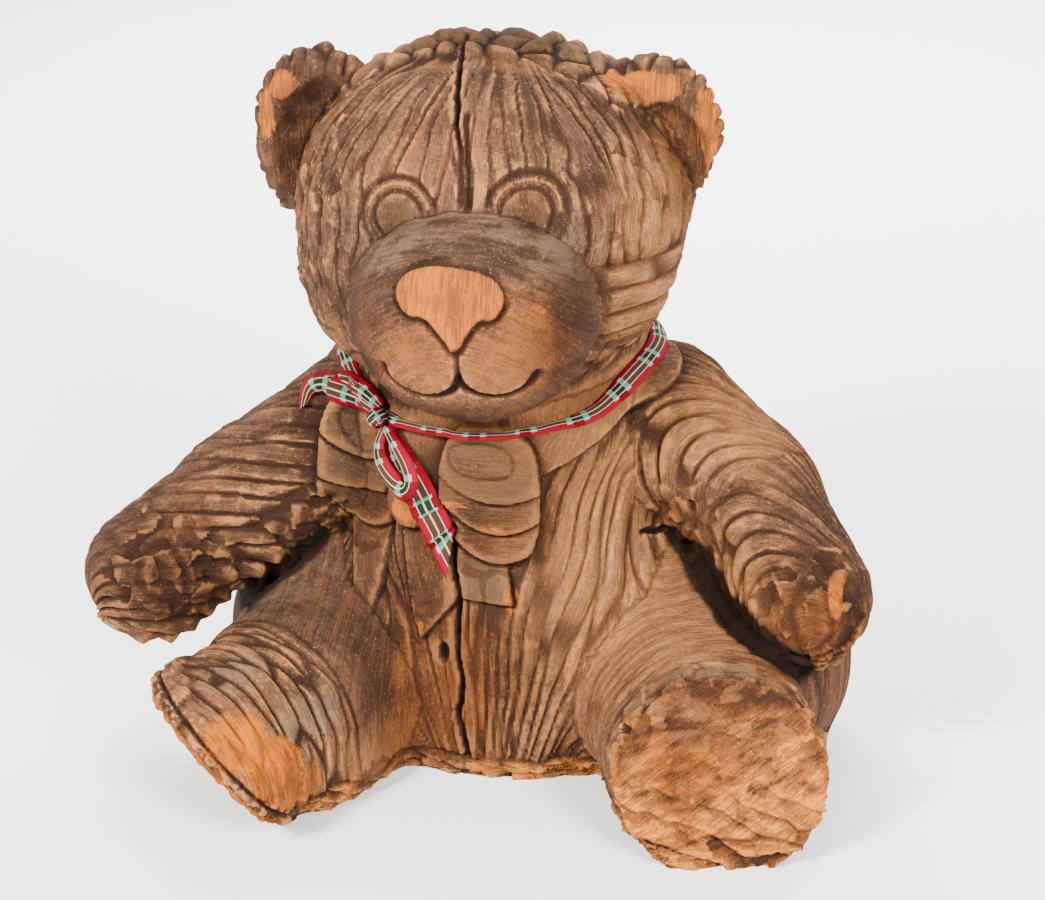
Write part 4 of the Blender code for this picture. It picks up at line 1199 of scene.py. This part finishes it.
def make_ribbon(bear):
    """The ribbon laid round the neck, with its knot, its loop and its two ends."""
    wood = BVHTree.FromObject(bear, bpy.context.evaluated_depsgraph_get())
    width = RIBBON_WIDTH / SHARE
    strip, reached = lay_cloth("ribbon_cloth", make_band(wood, width))
    pieces = [strip]
    forward = np.array((0.1, -1.0, 0.25))
    ends = (
        (TAIL, (0.35, 0.9, 1, 1, 1), 0.25, 11.0, forward),
        (LOOP, (0.35, 0.6, 0.7, 0.6, 0.35), 0.9, 0.0, np.array((-0.75, -0.55, 0.35))),
        (SHORT_END, (0.35, 0.7, 0.9, 0.8, 0.25), 0.9, 3.0, forward),
        (PLEAT, (0.35, 0.6, 0.7, 0.6, 0.3), 1.1, 0.0, forward),
        (CORNER, (0.9, 0.7, 0.5, 0.3, 0.08), 0.5, 0.0, forward),
    )
    for keys, taper, curl, slant, front in ends:
        route = through(keys, END_STEPS)
        share = np.linspace(0, 1, END_STEPS)
        widths = width * np.interp(share, np.linspace(0, 1, len(taper)), taper)
        fronts, pushes = np.tile(front, (END_STEPS, 1)), np.tile(forward, (END_STEPS, 1))
        rows = band_rows(wood, route, fronts, widths, pushes, curl, slant)
        strip, reached = lay_cloth("ribbon_end", rows, reached)
        pieces.append(strip)
    turn = np.linspace(0, 2 * KNOT_TURNS * math.pi, END_STEPS)[:, None]
    middle = Vector(KNOT_PLACE)
    while clearance(wood, middle) < KNOT_CLEARANCE:
        middle += Vector((-0.55, -0.75, 0.35)) * 0.4
    side, lift = np.array((0.62, -0.3, 0.72)), np.array((-0.45, -0.88, 0.1))
    wrap = np.array(middle) + KNOT_LIFT * np.cos(turn) * unit(lift) + KNOT_SIDE * np.sin(turn) * unit(side)
    wrap = wrap + np.linspace(-1.8, 1.8, END_STEPS)[:, None] * np.cross(unit(lift), unit(side))
    away = wrap - np.array(middle)
    widths, pushes = np.full(END_STEPS, width * 0.62), np.tile(unit(lift), (END_STEPS, 1))
    rows = band_rows(wood, wrap, away, widths, pushes, 0.6)
    strip, reached = lay_cloth("ribbon_knot", rows, reached)
    pieces.append(strip)
    pick(*pieces)
    bpy.ops.object.join()
    ribbon = bpy.context.object
    ribbon.name = "tartan_ribbon"
    apply(ribbon, "SOLIDIFY", thickness=CLOTH_THICKNESS, offset=0.0, use_even_offset=True)
    return ribbon, reached * RIBBON_WIDTH


class Socket:
    """A shader output whose arithmetic adds Math nodes."""

    def __init__(self, surface, output):
        self.surface = surface
        self.output = output

    def _math(self, operation, first, second=0.0):
        return self.surface.node("ShaderNodeMath", {"operation": operation}, {0: first, 1: second})

    def __add__(self, other):
        return self._math("ADD", self, other)

    def __radd__(self, other):
        return self._math("ADD", other, self)

    def __sub__(self, other):
        return self._math("SUBTRACT", self, other)

    def __rsub__(self, other):
        return self._math("SUBTRACT", other, self)

    def __mul__(self, other):
        return self._math("MULTIPLY", self, other)

    def __rmul__(self, other):
        return self._math("MULTIPLY", other, self)

    def __mod__(self, other):
        return self._math("FLOORED_MODULO", self, other)

    def __abs__(self):
        return self._math("ABSOLUTE", self)

    def between(self, low, high):
        """Eases from 0 where the value is low to 1 where it is high."""
        settings = {"interpolation_type": "SMOOTHSTEP"}
        return self.surface.node("ShaderNodeMapRange", settings, {"Value": self, 1: low, 2: high})


class Surface:
    """A material as it is built up."""

    def __init__(self, name):
        self.material = bpy.data.materials.new(name)
        self.material.use_nodes = True
        self.tree = self.material.node_tree
        self.tree.nodes.clear()

    def node(self, kind, settings=None, sockets=None, output=0):
        """Adds a node with its settings, then the values or links of its sockets."""
        made = self.tree.nodes.new(kind)
        for name, value in (settings or {}).items():
            setattr(made, name, value)
        for name, value in (sockets or {}).items():
            if isinstance(value, Socket):
                self.tree.links.new(value.output, made.inputs[name])
            else:
                made.inputs[name].default_value = value
        return Socket(self, made.outputs[output]) if made.outputs else made

    def blend(self, share, first, second, how="MIX"):
        """A colour that goes from the first to the second as the share goes from 0 to 1."""
        first, second = [(*c, 1) if isinstance(c, tuple) else c for c in (first, second)]
        settings = {"data_type": "RGBA", "blend_type": how}
        return self.node("ShaderNodeMix", settings, {0: share, 6: first, 7: second}, 2)

    def places(self, stretch=(1, 1, 1)):
        """Places on the piece, in metres, stretched for a grain."""
        own = self.node("ShaderNodeTexCoord", output="Object")
        return self.node("ShaderNodeMapping", None, {"Vector": own, "Scale": stretch})

    def strokes(self, stretch):
        """Places across and along the gouge's strokes, in shares, drawn out along them."""
        chart = self.node("ShaderNodeCombineXYZ", None, {"X": self.mask("across"), "Y": self.mask("along")})
        return self.node("ShaderNodeMapping", None, {"Vector": chart, "Scale": (1, stretch, 1)})

    def cloud(self, vector, scale, detail=3.0, rough=0.55):
        """Soft random values from 0 to 1."""
        sockets = {"Vector": vector, "Scale": scale, "Detail": detail, "Roughness": rough}
        return self.node("ShaderNodeTexNoise", None, sockets)

    def mask(self, name):
        return self.node("ShaderNodeAttribute", {"attribute_name": name}, output="Fac")

    def finish(self, colour, roughness, height, depth, **fixed):
        """Ends the material in its shader: colour, roughness, a height for its bump, and constants."""
        bump = self.node("ShaderNodeBump", None, {"Height": height, "Distance": depth, "Strength": 1.0})
        sockets = {"Base Color": colour, "Roughness": roughness, "Normal": bump, **fixed}
        shader = self.node("ShaderNodeBsdfPrincipled", None, sockets)
        self.node("ShaderNodeOutputMaterial", None, {"Surface": shader})
        return self.material


# Painted shade for the deepest cuts.
RECESS = (0.014, 0.006, 0.0035)
# Painted shade for the cuts and hollows.
DEEP = (0.034, 0.015, 0.0085)
BROWN = (0.054, 0.024, 0.0125)
FACE = (0.108, 0.051, 0.0270)
PALE = (0.240, 0.105, 0.0450)
# Pale tan: the painted highlight on crests and rubbed edges, and the lightest streaks of the pale wood.
RIDGE = (0.560, 0.225, 0.0680)
GREY = (0.185, 0.112, 0.0620)
# Grey wood in painted shade, and its darkest mottling.
GREY_DEEP = (0.032, 0.021, 0.0145)
RUST = (0.190, 0.066, 0.0200)
BARE = (0.580, 0.143, 0.0060)
BARE_DEEP = (0.225, 0.066, 0.0180)
TAN = (0.350, 0.107, 0.0210)
# The lightest tan of the soles and base; where it falls on crests it is a painted highlight.
TAN_BRIGHT = (0.900, 0.255, 0.0180)
TAN_DEEP = (0.085, 0.031, 0.0120)
# Painted glints of reflected light.
GLINT = (0.950, 0.600, 0.3600)


def wood_finish():
    """Weathered wood: painted shade in the cuts and hollows, mottled brown faces, tan crests with painted
    highlights and glints, grey weather-stained faces and bare orange chips.
    """
    wood = Surface("weathered_wood_with_painted_light")
    even = wood.places()
    grain = wood.places((1, 1, 0.07))
    crest, hollow, cuts = wood.mask("crest"), wood.mask("hollow"), wood.mask("cut_shading")
    fine = wood.cloud(wood.strokes(0.07), 1.1, 4, 0.65) - 0.5
    broad = wood.cloud(wood.strokes(0.10), 0.26, 4, 0.6) - 0.5
    streak = wood.cloud(grain, 190, 4) - 0.5
    mottle = wood.cloud(even, 42, 6, 0.65) - 0.5
    blotch = wood.cloud(even, 14, 3, 0.5) - 0.5
    speck = wood.cloud(even, 420, 5, 0.75) - 0.5
    dust = wood.cloud(even, 1300, 2, 0.6) - 0.5
    grit = speck * 1.3 + fine * 1.2 + dust * 0.8
    # The mottled tone, made lighter on crests as a painted highlight and a little darker in hollows as
    # painted shade.
    tone = mottle * 1.0 + blotch * 0.9 + broad * 1.1 + grit + hollow * 0.10 + crest * 0.38
    colour = wood.blend(tone.between(-0.30, 0.14), BROWN, FACE)
    colour = wood.blend(tone.between(0.10, 0.48) * 0.95, colour, PALE)
    colour = wood.blend((broad * 1.2 + blotch + streak * 0.6).between(0.04, 0.42) * 0.6, colour, RUST)
    pale = (wood.mask("pale") + mottle * 0.6 + fine * 0.5).between(0.05, 0.85)
    pale_wood = wood.blend((fine + broad * 0.5 + speck * 0.6).between(-0.15, 0.30), PALE, RIDGE)
    colour = wood.blend(pale * 0.85, colour, pale_wood)
    tan = (wood.mask("tan") + mottle * 1.4 + grit * 0.4).between(0.28, 0.70)
    tan_tone = tone * 0.85 + fine * 0.3 + mottle * 0.4
    tan_wood = wood.blend(tan_tone.between(-0.46, 0.00), TAN_DEEP, TAN)
    tan_wood = wood.blend(tan_tone.between(0.06, 0.42), tan_wood, TAN_BRIGHT)
    colour = wood.blend(tan * 0.88, colour, tan_wood)
    rust = (wood.mask("rust") + mottle * 1.3 + grit * 0.5).between(0.12, 0.88)
    colour = wood.blend(rust * 0.62, colour, wood.blend(tan_tone.between(-0.24, 0.20), RUST, TAN))
    grey = (wood.mask("grey") + mottle * 1.1 + blotch * 0.5 + fine * 0.4).between(0.18, 0.76)
    # Grey wood lighter on crests as a painted highlight and darker in hollows as painted shade.
    grey_wood = wood.blend((crest * 0.6 + hollow * 0.3 + tone).between(-0.4, 0.4), GREY_DEEP, GREY)
    colour = wood.blend(grey * 0.6, colour, grey_wood)
    # Darker patches: the wood's own darker colour, and painted shade in the armpits, behind the right arm and
    # under the chin.
    dark = (wood.mask("dark") + mottle * 0.6 + broad * 0.5 + grit * 0.2).between(0.02, 0.80)
    colour = wood.blend(dark * 0.9, colour, (0.46, 0.40, 0.36), "MULTIPLY")
    # Painted shade in the hollows.
    colour = wood.blend((hollow + crest * 0.6 + grit).between(0.3, -2.0) * 0.7, colour, DEEP)
    # Painted highlight on the crests.
    bright = (crest + grit * 0.6 + mottle * 0.5).between(0.28, 0.95)
    bright = bright * (1 - dark * 0.8) * (1 - grey * 0.5)
    colour = wood.blend(bright * 0.78, colour, RIDGE)
    stripes = (fine * 1.4 + streak * 0.6 + mottle * 1.2 + blotch * 0.6).between(-0.20, 0.24)
    bare = (wood.mask("bare") + mottle * 0.45 + grit * 0.2).between(0.45, 0.54)
    colour = wood.blend(bare, colour, wood.blend(stripes, BARE_DEEP, BARE))
    # Painted glints of reflected light in tiny specks.
    glints = (dust + speck * 0.8).between(0.20, 0.34) * (1 - dark * 0.5)
    colour = wood.blend(glints * 0.65, colour, GLINT)
    # Lighter edges beside the cuts: rubbed wear with a painted highlight.
    wear_and_highlight = (grit * 0.5 + mottle * 0.4 - cuts).between(0.20, 0.60)
    colour = wood.blend(wear_and_highlight * (1 - dark * 0.5) * 0.65, colour, wood.blend(dark * 0.6, RIDGE, RUST))
    # Painted shade in the cuts, the cracks and the gap between the arms and body, darkest in the deepest of
    # them.
    cut_shading = cuts + grit * 0.35 + mottle * 0.3
    colour = wood.blend(cut_shading.between(0.08, 0.75) * 0.62, colour, DEEP)
    colour = wood.blend(cut_shading.between(0.62, 1.05) * 0.92, colour, RECESS)
    rough = 0.80 + 0.5 * speck
    bump = speck * 1.0 + fine * 1.3 + broad * 0.8 + dust * 0.5
    return wood.finish(colour, rough, bump, 0.0022, **{"Specular IOR Level": 0.08})


RED = (0.210, 0.0015, 0.0090)
# The red in shade: painted along the ribbon's edges as shade, and also the darker red where the green bars
# cross the selvedges.
DEEP_RED = (0.115, 0.0010, 0.0050)
WHITE = (0.56, 0.47, 0.48)
PINK = (0.48, 0.27, 0.30)
OLIVE = (0.050, 0.023, 0.0115)
CREAM = (0.60, 0.36, 0.18)
MINT = (0.050, 0.240, 0.150)
GREEN = (0.0022, 0.0190, 0.0105)
SETT = 1.66


def tartan_finish():
    """A woven tartan: red selvedges, white lines, an olive middle, and green and mint bars across."""
    cloth = Surface("tartan_weave")
    uv = cloth.node("ShaderNodeTexCoord", output="UV")
    across = cloth.node("ShaderNodeSeparateXYZ", None, {"Vector": uv}, "X")
    along = cloth.node("ShaderNodeSeparateXYZ", None, {"Vector": uv}, "Y")
    edge = abs(across - 0.5) * 2
    bar = abs(along % SETT - SETT / 2)
    selvedge = edge.between(0.47, 0.49)
    plain = cloth.blend(selvedge, OLIVE, RED)
    mint = cloth.blend(selvedge, MINT, cloth.blend(edge.between(0.62, 0.68), PINK, RED))
    green = cloth.blend(selvedge, cloth.blend(edge.between(0.36, 0.39), GREEN, OLIVE), DEEP_RED)
    colour = cloth.blend(bar.between(0.37, 0.35), plain, mint)
    colour = cloth.blend(bar.between(0.19, 0.17), colour, green)
    colour = cloth.blend(abs(edge - 0.48).between(0.030, 0.018), colour, WHITE)
    colour = cloth.blend(edge.between(0.07, 0.045), colour, CREAM)
    # Painted shade along the ribbon's outer edges.
    colour = cloth.blend(edge.between(0.93, 0.99) * 0.5, colour, DEEP_RED)
    thread = {"Vector": uv, "Scale": 13.0, "Distortion": 0.3}
    threads = cloth.node("ShaderNodeTexWave", None, thread)
    weft = cloth.node("ShaderNodeTexWave", {"bands_direction": "Y"}, thread)
    weave = threads * 0.5 + weft * 0.5
    # Painted shade between the woven threads.
    colour = cloth.blend((1 - weave) * 0.30, colour, (0.012, 0.004, 0.004))
    return cloth.finish(colour, 0.5 + 0.2 * weave, weave, 0.00012, **{"Specular IOR Level": 0.06})


PLACE = np.array((0.0042, 0.0429, 0))


def set_out(bear, ribbon):
    """Brings both pieces to metres in the frame, smooth-shaded, and ties them to it."""
    for piece, node, slot in ((bear, "bear", "carved_wood"), (ribbon, "ribbon", "tartan_ribbon")):
        set_positions(piece, positions(piece) * SHARE + PLACE)
        pick(piece)
        bpy.ops.object.shade_smooth()
        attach(piece, "root")
        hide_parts(node)


def add_light(name, place, target, size, power):
    """A square lamp at the place, turned to the target."""
    data = bpy.data.lights.new(name, "AREA")
    data.size = size
    data.energy = power
    lamp = bpy.data.objects.new(name, data)
    bpy.context.collection.objects.link(lamp)
    lamp.location = place
    lamp.rotation_euler = (Vector(target) - Vector(place)).to_track_quat("-Z", "Y").to_euler()


VIEW_AZIMUTH = 10.0
VIEW_ELEVATION = 22.0
VIEW_DISTANCE = 1.25
VIEW_TARGET = (0.0154, 0.0429, 0.157)
LENS = 81.8
LIGHTS = (
    ("key", (-0.80, -1.35, 1.25), VIEW_TARGET, 0.40, 105),
    ("fill", (0.95, -1.30, 1.00), VIEW_TARGET, 0.50, 77),
    ("top", (0.0, 0.7, 1.6), VIEW_TARGET, 1.0, 14),
    ("behind", (0.0, 1.7, 1.5), (0.0, 2.0, 0.0), 2.0, 190),
)


def set_stage():
    """The floor, the soft light and the camera."""
    bpy.ops.mesh.primitive_plane_add(size=8, location=(0, 0, 0))
    floor = bpy.context.object
    floor.name = "floor"
    paint = bpy.data.materials.new("floor_paint")
    paint.use_nodes = True
    shader = paint.node_tree.nodes["Principled BSDF"]
    shader.inputs["Base Color"].default_value = (0.92, 0.92, 0.91, 1)
    shader.inputs["Roughness"].default_value = 0.9
    floor.data.materials.append(paint)
    world = bpy.data.worlds.new("studio")
    bpy.context.scene.world = world
    world.use_nodes = True
    world.node_tree.nodes["Background"].inputs["Color"].default_value = (1.0, 1.0, 1.0, 1)
    world.node_tree.nodes["Background"].inputs["Strength"].default_value = 0.42
    for light in LIGHTS:
        add_light(*light)
    camera = bpy.data.objects.new("camera", bpy.data.cameras.new("camera"))
    bpy.context.collection.objects.link(camera)
    azimuth, elevation = math.radians(VIEW_AZIMUTH), math.radians(VIEW_ELEVATION)
    level = math.cos(elevation)
    back = Vector((math.sin(azimuth) * level, -math.cos(azimuth) * level, math.sin(elevation)))
    camera.location = Vector(VIEW_TARGET) + back * VIEW_DISTANCE
    camera.rotation_euler = back.to_track_quat("Z", "Y").to_euler()
    camera.data.lens = LENS
    camera.data.clip_end = 50
    bpy.context.scene.camera = camera


bear = make_bear()
ribbon, ribbon_length = make_ribbon(bear)
set_out(bear, ribbon)
bear.data.materials.append(wood_finish())
ribbon.data.materials.append(tartan_finish())
set_stage()
